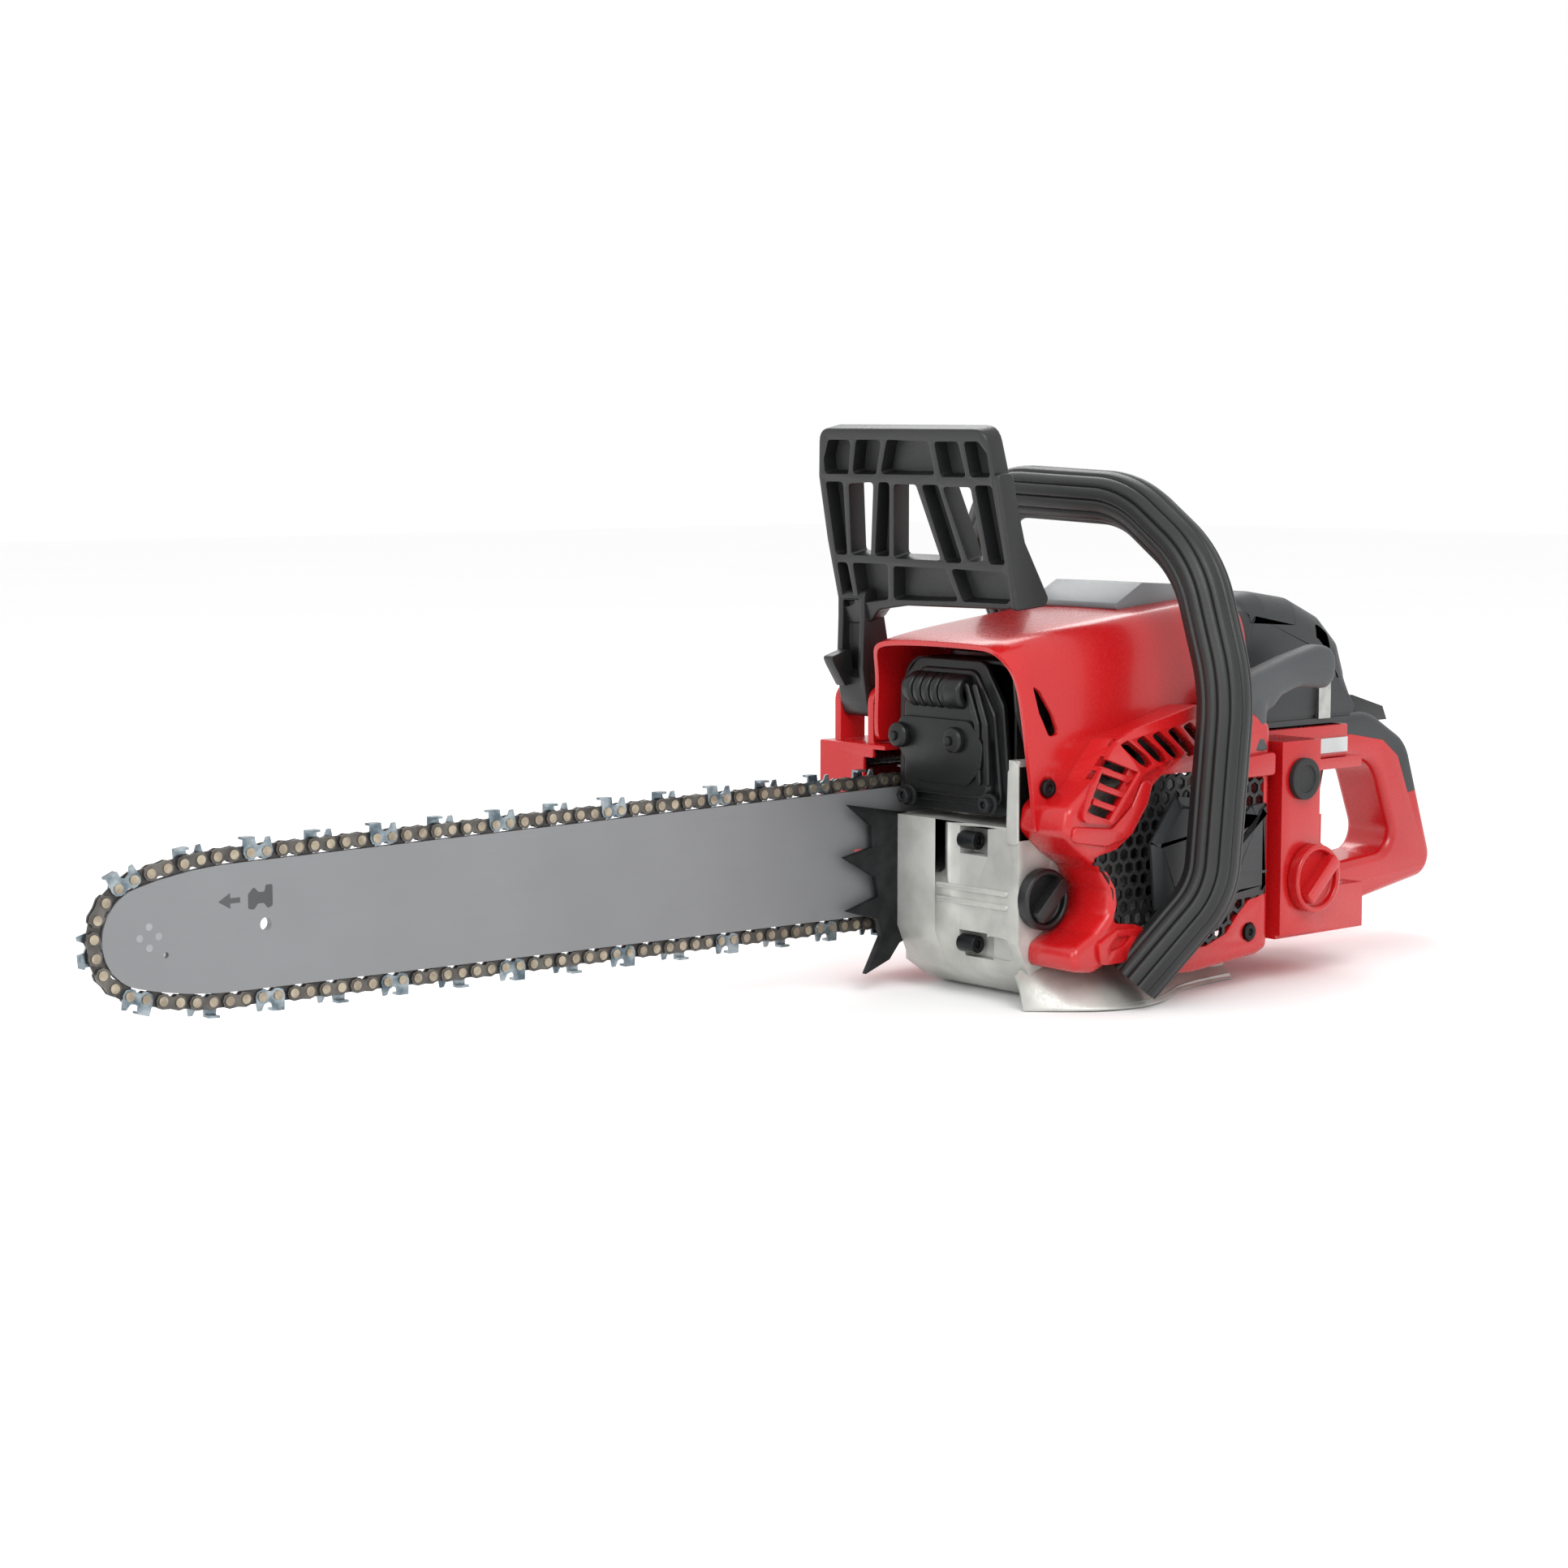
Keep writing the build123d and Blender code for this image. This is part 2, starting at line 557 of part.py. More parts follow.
studs = [rod_y(sx, crank_z, 4.0, 30, side_right + 9) for sx in stud_x]
nuts = []
for sx in stud_x:
    nut = extrude(RegularPolygon(7.5, 6), 8)
    nut = Pos(sx, side_right, crank_z) * Rot(-90, 0, 0) * nut
    nuts.append(nut - rod_y(sx, crank_z, 4.0, side_right - 1, side_right + 10))
save("bar_studs_and_nuts", *studs, *nuts)

side_outline = [(-92, 127), (-50, 127), (-34, 119), (24, 119), (46, 98), (46, 46), (26, 24), (-40, 22),
                (-92, 36)]
side_cover = prism_y(side_outline, bar_y + 6, side_right)
side_cover -= prism_y(side_outline, bar_y + 5, side_right - shell, shell)
side_cover -= block(-95, -88, bar_y + 5, bar_y + 13, 40, 120)
side_cover += block(-92, -52, bar_y - 3, bar_y + 7, 127 - shell, 127)
for sx in stud_x:
    side_cover += rod_y(sx, crank_z, 9, plate_y[1], side_right)
    side_cover -= rod_y(sx, crank_z, 4.0, plate_y[1] - 1, side_right + 1)
lug_y = ((56, 60.5), (81.5, 86))
px, pz = guard_pivot
for y0, y1 in lug_y:
    side_cover += block(px - 9, px + 9, y0, y1, 126, pz) + rod_y(px, pz, 9, y0, y1)
    side_cover -= rod_y(px, pz, 3.0, y0 - 1, y1 + 1)
save("clutch_cover", side_cover)
tension_screw = rod_x(bar_y + 10, tension_hole[1], 3, -87.9, -52)
tension_screw += block(tension_hole[0] - 5, tension_hole[0] + 5, bar_y + 6, bar_y + 14, tension_hole[1] - 5,
                       tension_hole[1] + 5)
tension_screw += rod_y(tension_hole[0], tension_hole[1], 3.4, plate_y[0] + 0.2, bar_y + 7)
save("chain_tensioner", tension_screw)
save("chain_catcher", block(-58, -44, 33, bar_y + 3, 12, 20) - block(-60, -40, 30, case_right, 10, 30)
     + block(-58, -44, case_right, case_right + 1, 8, 20))

# ---- clutch -------------------------------------------------------------------
shaft_end_r = 5.5
drum = rod_y(0, crank_z, drum_r, 50, 66) - rod_y(0, crank_z, drum_r - 2, 52, 67)
drum -= rod_y(0, crank_z, shaft_end_r + run_gap, 49, 67)
drum += toothed(0, drum_teeth, drum_pitch_r - 4.3, drum_pitch_r - 8.9, shaft_end_r + run_gap, 3.2, drum_phase)
drum += rod_y(0, crank_z, 12, bar_y + 3.2, 50)
drum -= rod_y(0, crank_z, shaft_end_r + run_gap, 38, 51)
save("clutch_drum", drum)
hub = ring_y(0, crank_z, 13, 5.5, 53.2, 65)
for turn in (90, 210, 330):
    hub += Pos(0, 0, crank_z) * Rot(0, -turn, 0) * block(12, 24, 53.2, 65, -4, 4)
shoes = []
for turn in (30, 150, 270):
    shoe = ring_y(0, 0, drum_r - 3, 25, 54, 64)
    for edge in (52, -232):
        shoe -= Rot(0, -edge, 0) * block(-60, 60, 50, 70, 0, 80)
    shoe = shoe & block(0, 60, 50, 70, -60, 60)
    shoes.append(Pos(0, 0, crank_z) * Rot(0, -turn, 0) * shoe)
save("clutch", hub, *shoes)
band = ring_y(0, crank_z, drum_r + 2.2, drum_r + 0.9, 52, 65)
band -= block(-60, -20, 50, 70, crank_z - 9, crank_z + 9)
brake_spring = rod_x(76, 116, 4, -84, -52) - rod_x(76, 116, 2.6, -85, -51)
save("brake_band", band, brake_spring)

# ---- hand guard -----------------------------------------------------------------
gy0, gy1 = guard_width
guard_outline = [(gy1 - 21, 30), (gy0 + 10, 29), (gy0 + 1, 23), (gy0, 11), (gy0, -36), (gy0 - 3, -50),
                 (gy0, -61),
                 (gy0 + 6, -65), (gy0 + 35, -63), (30, -64), (gy1 - 26, -67), (gy1 - 1, -72), (gy1, -41),
                 (gy1 - 2, 0), (gy1 - 4, 9), (gy1 - 11, 24)]
guard = prism_x(guard_outline, 0, guard_depth)
guard = soften(guard, 2, lambda edges: edges.filter_by(Axis.X))
windows = [[(59, -2), (38, 0), (51, -37), (67, -37)], [(25, -2), (8, -1), (-3, -38), (35, -38)],
           [(-9, -2), (-31, -2), (-32, -39), (-20, -39)]]
for window in windows:
    guard -= prism_x(window, -1, guard_depth + 1)
guard = Pos(guard_hinge[0], 0, guard_hinge[1]) * Rot(0, -guard_lean, 0) * guard
guard += prism_y([(-98, 251), (-88, 251), (-84, 234), (-68, 206), (-71, 203), (-86, 204)], gy0, gy0 + 3)
guard += prism_y([(-91, 214), (-88, 196), (px - 9, pz), (px + 9, pz), (px + 8, 172), (-75, 200), (-80, 216)],
                 gy1 - 21, gy1 - 1)
guard += rod_y(px, pz, 9, gy1 - 21, gy1 - 1)
guard -= rod_y(px, pz, 3.0 + run_gap, 55, 90)
save("hand_guard", guard)

# ---- flywheel side --------------------------------------------------------------
fly = rod_y(0, crank_z, flywheel_r, flywheel_left, -54.5)
fly += rod_y(0, crank_z, 14, flywheel_left, -53)
for i in range(12):
    fin = block(24, flywheel_r - 1, flywheel_left - 4, flywheel_left, -1, 1)
    fly += Pos(0, 0, crank_z) * Rot(0, 30 * i, 0) * fin
fly -= rod_y(0, crank_z, 5.5, -80, -40)
fly_nut = Pos(0, flywheel_left, crank_z) * Rot(90, 0, 0) * extrude(RegularPolygon(9, 6), 6)
save("flywheel", fly, fly_nut - rod_y(0, crank_z, 5.5, -80, -40))
coil_z = crank_z + flywheel_r + 1
coil = block(-16, 16, -64, -55, coil_z + 4, coil_z + 20) + block(-16, -9, -63, -56, coil_z + 1.5, coil_z + 4)
coil += block(9, 16, -63, -56, coil_z + 1.5, coil_z + 4)
save("ignition_coil", coil)

starter_outline = [(case_front, 90), (-68, 116), (-48, 136), (8, 150), (46, 148), (cover_right, 128),
                   (cover_right, 18),
                   (20, 13), (-12, 14), (-14, 27), (-53, 27), (-55, 20), (-78, 22), (-80, 34), (-58, 42),
                   (-54, 57), (-60, 73), (-80, 82)]
window_outline = [(-66, 76), (-48, 77), (-27, 86), (-10, 107), (5, 117), (56, 112), (58, 42), (44, 28),
                  (24, 20),
                  (-8, 22), (-22, 36), (-42, 38), (-46, 52), (-54, 66)]
starter = prism_y(starter_outline, cover_left, case_left - fit)
front_edges = starter.edges().group_by(Axis.Y)[0]
starter = chamfer(front_edges, 3.0)
starter -= prism_y(starter_outline, cover_left + shell, case_left, shell)
window = prism_y(window_outline, cover_left - 1, cover_left + shell + 1)
starter -= window
notch = (rope_guide[0] - 24, rope_guide[1] - 0.5)
nook = prism_y(starter_outline, cover_left, -64)
nook &= block(notch[0] - shell, 80, cover_left, -64, notch[1] - shell, 160)
starter -= block(notch[0], 80, cover_left - 1, -64, notch[1], 160)
starter += nook - block(notch[0], 80, cover_left - 1, -64 - shell, notch[1], 160)
starter += rod_y(0, crank_z, 4.5, cover_left + shell, -70.8)
starter += rod_y(0, crank_z, 14, cover_left + 1, cover_left + shell + 2)
vent_places = [(-62, 96, 38), (-56, 104, 38), (-50, 112, 38), (-34, 120, 60), (-22, 126, 60), (-10, 130, 60)]
for vx, vz, turn in vent_places:
    cut = Pos(vx, cover_left, vz) * Rot(0, -turn, 0) * Box(15, 12, 4.5)
    starter -= cut
grille = prism_y(window_outline, cover_left + 0.5, cover_left + 2.3) - rod_y(0, crank_z, 14, -90, -60)
save("starter_grille", grille)
badge_outline = [(0, 108), (-12, 97), (-24, 72), (-18, 45), (-6, 28), (24, 22), (42, 33), (56, 42),
                 (56, 90), (38, 92)]
badge = prism_y(badge_outline, cover_left - 2, cover_left + 0.5)
save("badge_panel", badge - rod_y(0, crank_z, 14, -85, -60))
pulley = rod_y(0, crank_z, 24, -78.5, -77) + rod_y(0, crank_z, 24, -73, -71.5)
pulley += rod_y(0, crank_z, 18, -78.5, -71.5)
rope_coil = ring_y(0, crank_z, rope_r, 18, -76.8, -73.2)
save("starter_pulley", pulley - rod_y(0, crank_z, 4.5 + run_gap, -90, -60), rope_coil)
save("rewind_spring", ring_y(0, crank_z, 17, 14.5, -81.0, -79))
gx, gz = rope_guide
reach = hypot(gx, gz - crank_z)
touch = atan2(gz - crank_z, gx) - acos((rope_r + 2.5) / reach)
rope_start = ((rope_r + 2.5) * cos(touch), crank_z + (rope_r + 2.5) * sin(touch))
rope_line = Line((rope_start[0], pulley_y, rope_start[1]), (gx, pulley_y, gz))
rope = sweep(Plane(origin=rope_line @ 0, z_dir=rope_line % 0) * Circle(rope_d / 2), path=rope_line)
rope -= rod_y(0, crank_z, 24.4, -90, -60)
rope -= block(0, 100, -90, -60, gz, 200)
save("starter_rope", rope)
starter -= sweep(Plane(origin=rope_line @ 0, z_dir=rope_line % 0) * Circle(rope_d / 2 + 1.5), path=rope_line)
starter -= rod_z(gx, pulley_y, rope_d / 2 + 3, gz - 6, gz + 1)
save("starter_cover", starter)
pull = soften(block(gx - 9, gx + 9, pulley_y - 7, pulley_y + 7, gz, 152), 3,
              lambda edges: edges.filter_by(Axis.Z))
crossbar = soften(Box(86, 18, 17), 6, lambda edges: edges.filter_by(Axis.X))
pull += Pos(82, pulley_y, 167) * Rot(0, -13, 0) * crossbar
save("pull_handle", pull)

# ---- covers on top --------------------------------------------------------------
seam = [(case_front, 90 + fit), (-68, 116 + fit), (-48, 136 + fit), (8, 150 + fit), (46, 148 + fit),
        (72, 146 + fit)]
top_outline = [(-90, 172), (-97, 181), (-96, 184), (-60, 189), (0, 197), (60, 202), (72, 196)] + seam[::-1]
top_cover = prism_y(top_outline, top_left, top_right)
hollow = [(case_front - 12, 176), (-60, 186), (0, 194), (60, 198), (90, 194), (90, 60), (case_front - 12, 60)]
top_cover -= prism_y([(-85, 176)] + hollow[1:-1] + [(-85, 60)], top_left + shell, top_right - shell)
top_cover -= block(-100, -84, muffler_y[0] - 2, muffler_y[1] + 2, 60, 177)
top_cover -= block(-100, -58, case_left - 0.5, -43.5, 60, 127)
top_cover -= block(-100, 80, 38, 60, 60, 128)
top_cover -= block(50, 80, -47, top_right + 1, 60, 150)
top_cover -= Pos(-80, top_left, 160) * Rot(0, -12, 0) * Box(6, 12, 30)
save("top_cover", top_cover)
panel_outline = [(2, 197.5), (26, 208), (60, 206), (70, 200), (60, 202.2)]
save("top_panel", prism_y(panel_outline, -34, 34))
cover_screws = [rod_y(-80, 112, 4, top_left - 2.5, top_left), rod_y(50, 26, 3.5, cover_left - 2, cover_left)]
save("housing_screws", *case_bolts, *cylinder_bolts, *spike_screws, *cover_screws)

rear_outline = [(76, 130.3), (76, 200), (100, 203), (140, 196), (166, 182), (174, 160), (174, 130.3)]
filter_cover = prism_y(rear_outline, -52, 48)
filter_cover = soften(filter_cover, 8, lambda edges: ShapeList(
    e for e in edges if e.center().Z > 162 and abs(e.center().Y + 2) > 49))
filter_cover -= prism_y([(78.5, 120), (78.5, 192), (100, 194), (138, 188), (162, 176), (172, 158),
                         (172, 120)], -46, 42)
filter_cover -= rod_x(engine_y, 142, 20, 70, 80)
save("filter_cover", filter_cover)
save("filter_cover_clips", block(140, 150, -54.5, -52, 134, 158), block(140, 150, 48, 50.5, 134, 158))

# ---- intake -----------------------------------------------------------------------
boot = rod_x(engine_y, 142, 14, 50, 80) - rod_x(engine_y, 142, 8, 49, 81)
save("intake_boot", boot)
carb = block(80, 104, engine_y - 18, engine_y + 18, 126, 158) - rod_x(engine_y, 142, 9, 79, 105)
carb -= rod_z(92, engine_y, 2.5 + run_gap, 125, 159)
save("carburettor", carb)
fly_valve = rod_z(92, engine_y, 2.5, 126, 162)
fly_valve += Pos(92, engine_y, 142) * Rot(0, 0, 12) * Rot(0, 90, 0) * Cylinder(8.4, 1.2)
fly_valve += block(90, 94, engine_y - 12, engine_y + 3, 160, 162)
save("throttle_valve", fly_valve)
filter_body = soften(block(108, 160, -34, 34, 133, 172), 6, lambda edges: edges.filter_by(Axis.Z))
save("air_filter", filter_body)

# ---- tank and rear handle -------------------------------------------------------
tank = block(tank_front, tank_rear, tank_step, tank_right, tank_floor, tank_top)
tank += block(tank_front, tank_rear, tank_left, tank_step, tank_floor, sill_top)
tank += block(tank_front, 101, tank_left - 3, tank_step, tank_floor + 2, 128)
tank += rod_y(fuel_cap[0], fuel_cap[1], fuel_cap_r + 2, tank_left - 3, tank_left + 14)
tank -= block(tank_front + tank_wall, tank_rear - tank_wall, tank_step + tank_wall, tank_right - tank_wall,
              tank_floor + tank_wall, tank_top - tank_wall)
tank -= block(tank_front + tank_wall, tank_rear - tank_wall, tank_left + tank_wall, tank_step + tank_wall + 1,
              tank_floor + tank_wall, sill_top - tank_wall)
tank -= block(tank_front + 4, 97, tank_left + 5, tank_step - 4, 30, 124)
tank += block(tank_front + 4, 176, -56, 50, 106, 112) + block(110, 176, grip_y[0], grip_y[1], 80, 108)
tank += block(50, 84, 56, 84, 98, 124) + block(74, 84, 36, 60, 70, 112)
handle_outer = FilletPolyline((138, 24), (226, 24), (290, 34), (262, 112), (228, 131), (177, 131), (168, 112),
                              (138, 112), radius=(0.5, 60, 13, 26, 34, 4, 0.5, 0.5), close=True)
handle_hole = FilletPolyline((150, 48), (196, 46), (253, 50), (232, 101), (208, 106), (177, 106), (177, 78),
                             (150, 76), radius=(0.5, 30, 12, 20, 16, 3, 3, 0.5), close=True)
loop = extrude_y(make_face(handle_outer), *grip_y)
loop -= extrude_y(make_face(handle_hole), grip_y[0] - 1, grip_y[1] + 1)
loop = soften(loop, 5, lambda edges: ShapeList(
    e for e in edges if e.center().X > 180 and abs(e.center().Y - grip_mid) > 16))
tank += loop
overlay_outline = [(182, 133), (230, 133), (248, 126), (266, 112), (276, 84), (262, 82), (252, 104),
                   (238, 114), (209, 119), (182, 119)]
overlay_zone = prism_y(overlay_outline, grip_y[0] - 2, grip_y[1] + 2)
overlay = loop & overlay_zone
tank -= overlay_zone
trigger_pivot = (186.0, 112.0)
slot_y = (grip_mid - 6.0, grip_mid + 6.0)
pocket = block(177, 206, slot_y[0], slot_y[1], 90, 118.5)
tank -= pocket
lock_pivot = (202.0, 127.0)
lock_slot = prism_y([(196, 118), (196, 140), (262, 140), (262, 112), (242, 108), (226, 114)], *slot_y)
overlay -= lock_slot
tank -= lock_slot
tank -= rod_y(fuel_cap[0], fuel_cap[1], 13, tank_left - 6, tank_left + 12)
pin_y = (slot_y[0] - 4, slot_y[1] + 4)
pivots = (trigger_pivot, lock_pivot)
pivot_pins = [rod_y(x, z, 1.5, *pin_y) for x, z in pivots]
for pivot_pin in pivot_pins:
    tank -= pivot_pin
    overlay -= pivot_pin
save("pivot_pins", rod_y(px, pz, 3.0, lug_y[0][0] - 1, lug_y[1][1] + 1), *pivot_pins)
save("tank_and_handle", tank)
save("grip_overlay", *overlay.solids())
lever_y = (slot_y[0] + 0.5, slot_y[1] - 0.5)
trigger = prism_y([(180, 115), (192, 115), (200, 100), (196, 84), (188, 86), (184, 100), (180, 106)],
                  *lever_y)
trigger = soften(trigger, 2, lambda edges: edges.group_by(Axis.Z)[0])
trigger += rod_y(*trigger_pivot, 4.5, *lever_y)
save("throttle_trigger", trigger - rod_y(*trigger_pivot, 1.5 + run_gap, *slot_y))
lockout = prism_y([(198, 125), (200, 133), (224, 140), (252, 132), (256, 124), (240, 124), (214, 128)],
                  *lever_y)
lockout += rod_y(*lock_pivot, 4.0, *lever_y)
save("throttle_lockout", lockout - rod_y(*lock_pivot, 1.5 + run_gap, *slot_y))
filter_base = block(76, 166, -54, 50, 112, 130) - block(79, 163, -51, 47, 111, 131)
save("filter_base", filter_base - rod_x(engine_y, 142, 14.5, 70, 110))
save("label_strip", block(118, 164, -55.5, -54, 115, 123))

# ---- caps and mounts -----------------------------------------------------------
def filler_cap(cx, cz, r, y_face, neck_r):
    cap = rod_y(cx, cz, r, y_face - 7, y_face - 0.5)
    cap = chamfer(cap.edges().group_by(Axis.Y)[0], 1.5)
    cap += rod_y(cx, cz, neck_r - 0.3, y_face - 1, y_face + 8)
    return cap + block(cx - r + 3, cx + r - 3, y_face - 11, y_face - 6, cz - 3, cz + 3)


save("fuel_cap", filler_cap(fuel_cap[0], fuel_cap[1], fuel_cap_r, tank_left - 3, 13))
save("oil_cap", filler_cap(oil_cap[0], oil_cap[1], oil_cap_r, case_left, 9))
save("mount_plug", rod_y(86, 108, 11, tank_left - 5, tank_left - 3))

# ---- front handle ----------------------------------------------------------------
route = [(-38, -84, 14), (-8, -108, 60), (3, -107, 160), (4, -86, 222), (5, -40, 254), (5, 78, 259),
         (66, 70, 118)]
radii = [45, 110, 60, 60, 42]
path = FilletPolyline(*route, radius=radii)
start = Plane(origin=path @ 0, z_dir=path % 0)


def handle_pipe(r_out, r_in):
    pipe = sweep(start * Circle(r_out), path=path) - sweep(start * Circle(r_in), path=path)
    return pipe - block(-80, 20, foot_left, 0, -20, 60) - block(40, 100, 50, 100, 0, 124)


save("front_handle_tube", handle_pipe(tube_r, tube_r - tube_wall))
save("front_handle_grip", handle_pipe(handle_r, tube_r))
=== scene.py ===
import math

import bpy
from mathutils import Matrix, Vector


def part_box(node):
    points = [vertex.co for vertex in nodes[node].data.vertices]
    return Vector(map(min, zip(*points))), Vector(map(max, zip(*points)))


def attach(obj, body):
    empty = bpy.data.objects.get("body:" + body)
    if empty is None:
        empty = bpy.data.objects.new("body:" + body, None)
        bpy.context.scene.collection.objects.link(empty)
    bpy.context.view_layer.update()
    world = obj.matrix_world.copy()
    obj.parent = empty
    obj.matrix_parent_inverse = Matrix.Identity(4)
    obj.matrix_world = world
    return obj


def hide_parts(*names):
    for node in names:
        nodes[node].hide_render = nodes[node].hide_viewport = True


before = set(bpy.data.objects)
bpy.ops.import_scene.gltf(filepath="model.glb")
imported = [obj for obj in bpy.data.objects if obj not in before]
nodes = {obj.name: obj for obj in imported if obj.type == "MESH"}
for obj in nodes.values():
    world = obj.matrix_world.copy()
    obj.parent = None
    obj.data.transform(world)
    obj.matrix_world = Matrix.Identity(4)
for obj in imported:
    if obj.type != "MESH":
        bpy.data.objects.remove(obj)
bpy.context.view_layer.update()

# ---- Studio ------------------------------------------------------------------
# A pale floor runs up to nothing, and three large soft lamps stand round the saw:
# a key high on the starter side, a broad fill in front and a strip behind.
MM = 0.001


def linear(code):
    """An sRGB hex colour as linear red, green, blue, alpha."""
    parts = [int(code[i:i + 2], 16) / 255 for i in (1, 3, 5)]
    return tuple(c / 12.92 if c <= 0.04045 else ((c + 0.055) / 1.055) ** 2.4 for c in parts) + (1.0,)


def add(material, kind, values=(), links=()):
    """Adds one shader node, sets its sockets or properties, and links other nodes' outputs into it."""
    made = material.node_tree.nodes.new(kind)
    for key, value in dict(values).items():
        if isinstance(key, str) and hasattr(made, key):
            setattr(made, key, value)
        else:
            made.inputs[key].default_value = value
    for key, source in dict(links).items():
        material.node_tree.links.new(source, made.inputs[key])
    return made


def empty_material(name):
    material = bpy.data.materials.new(name)
    material.use_nodes = True
    material.node_tree.nodes.clear()
    return material


def cell(size_mm):
    """Noise scale that gives a cell of this size, on coordinates in metres."""
    return 1.0 / (size_mm * MM)


# Matt studio paper: no gloss, with a trace of unevenness.
paper = empty_material("studio_paper_matt")
place = add(paper, "ShaderNodeTexCoord")
mottle = add(paper, "ShaderNodeTexNoise", {"Scale": cell(400)}, {"Vector": place.outputs["Object"]})
tone = add(paper, "ShaderNodeMix", {"data_type": "RGBA", 6: linear("#FBFBFB"), 7: linear("#FDFDFD")},
           {0: mottle.outputs["Fac"]})
surface = add(paper, "ShaderNodeBsdfPrincipled", {"Roughness": 0.9, "Specular IOR Level": 0.1},
              {"Base Color": tone.outputs[2]})
add(paper, "ShaderNodeOutputMaterial", (), {"Surface": surface.outputs[0]})

bpy.ops.object.select_all(action="DESELECT")
bpy.ops.mesh.primitive_plane_add(size=14, location=(0, 0, 0))
floor = bpy.context.object
floor.name = "floor"
floor.data.materials.append(paper)

world = bpy.data.worlds.new("white_room")
bpy.context.scene.world = world
world.use_nodes = True
world.node_tree.nodes["Background"].inputs["Color"].default_value = linear("#FFFFFF")
world.node_tree.nodes["Background"].inputs["Strength"].default_value = 1.0

for name, at, look, size, watts in (
        ("key", (-1.0, -1.6, 1.7), (0, 0, 0.1), 1.2, 26),
        ("front", (-1.9, -0.3, 0.9), (0, 0, 0.1), 1.0, 9),
        ("strip", (0.9, 1.2, 1.6), (0, 0, 0.1), 1.2, 16)):
    bpy.ops.object.light_add(type="AREA", location=at)
    lamp = bpy.context.object
    lamp.name = "lamp_" + name
    lamp.data.size = size
    lamp.data.energy = watts
    lamp.rotation_euler = (Vector(look) - Vector(at)).to_track_quat("-Z", "Y").to_euler()

camera_data = bpy.data.cameras.new("camera")
camera_data.sensor_width = 36.0
camera_data.lens = 70.81
camera = bpy.data.objects.new("camera", camera_data)
bpy.context.scene.collection.objects.link(camera)
yaw, pitch = math.radians(41.12), math.radians(6.3)
ahead = Vector((math.sin(yaw) * math.cos(pitch), math.cos(yaw) * math.cos(pitch), -math.sin(pitch)))
camera.location = (-1.1753, -1.120, 0.2825)
camera.rotation_euler = ahead.to_track_quat("-Z", "Y").to_euler()
bpy.context.scene.camera = camera
bpy.context.scene.view_settings.view_transform = "Standard"

# ---- Guide bar ---------------------------------------------------------------
# A solid steel bar, laser cut, ground flat and satin lacquered, with a rail down each
# edge. A small printed arrow and tooth near the nose show which way the chain runs.
LACQUER_DARK, LACQUER_LIGHT = "#7D7E80", "#828385"
GRIND_MM = 0.9            # spacing of the grinding lines, coarser than real so that they show


def pick(*pieces):
    """Makes these the selected pieces, the first one active."""
    bpy.ops.object.select_all(action="DESELECT")
    for piece in pieces:
        piece.select_set(True)
    bpy.context.view_layer.objects.active = pieces[0]


def dress(node, material):
    """Gives a CAD node its finish."""
    nodes[node].data.materials.clear()
    nodes[node].data.materials.append(material)


def metal(name, dark, light, rough, grain_mm, depth_mm, along=(1, 1, 1), mottle_mm=30, metallic=1.0):
    """A ground, cast or turned metal: tone wanders slowly, the tool marks run across `along`."""
    made = empty_material(name)
    place = add(made, "ShaderNodeTexCoord")
    laid = add(made, "ShaderNodeMapping", {"Scale": along}, {"Vector": place.outputs["Object"]})
    mottle = add(made, "ShaderNodeTexNoise", {"Scale": cell(mottle_mm), "Detail": 3.0},
                 {"Vector": place.outputs["Object"]})
    grain = add(made, "ShaderNodeTexNoise", {"Scale": cell(grain_mm), "Detail": 2.0},
                {"Vector": laid.outputs[0]})
    spread = add(made, "ShaderNodeMapRange", {"From Min": 0.35, "From Max": 0.65},
                 {"Value": mottle.outputs["Fac"]})
    tone = add(made, "ShaderNodeMix", {"data_type": "RGBA", 6: linear(dark), 7: linear(light)},
               {0: spread.outputs[0]})
    polish = add(made, "ShaderNodeMapRange", {"From Min": 0.3, "From Max": 0.7, "To Min": rough[0],
                                              "To Max": rough[1]}, {"Value": grain.outputs["Fac"]})
    relief = add(made, "ShaderNodeBump", {"Distance": depth_mm * MM}, {"Height": grain.outputs["Fac"]})
    skin = add(made, "ShaderNodeBsdfPrincipled", {"Metallic": metallic},
               {"Base Color": tone.outputs[2], "Roughness": polish.outputs[0], "Normal": relief.outputs[0]})
    add(made, "ShaderNodeOutputMaterial", (), {"Surface": skin.outputs[0]})
    return made


satin_bar = metal("lacquered_ground_bar_steel", LACQUER_DARK, LACQUER_LIGHT, (0.38, 0.48), GRIND_MM, 0.004,
                  along=(0.03, 1, 1), mottle_mm=90, metallic=0.35)
dress("guide_bar", satin_bar)


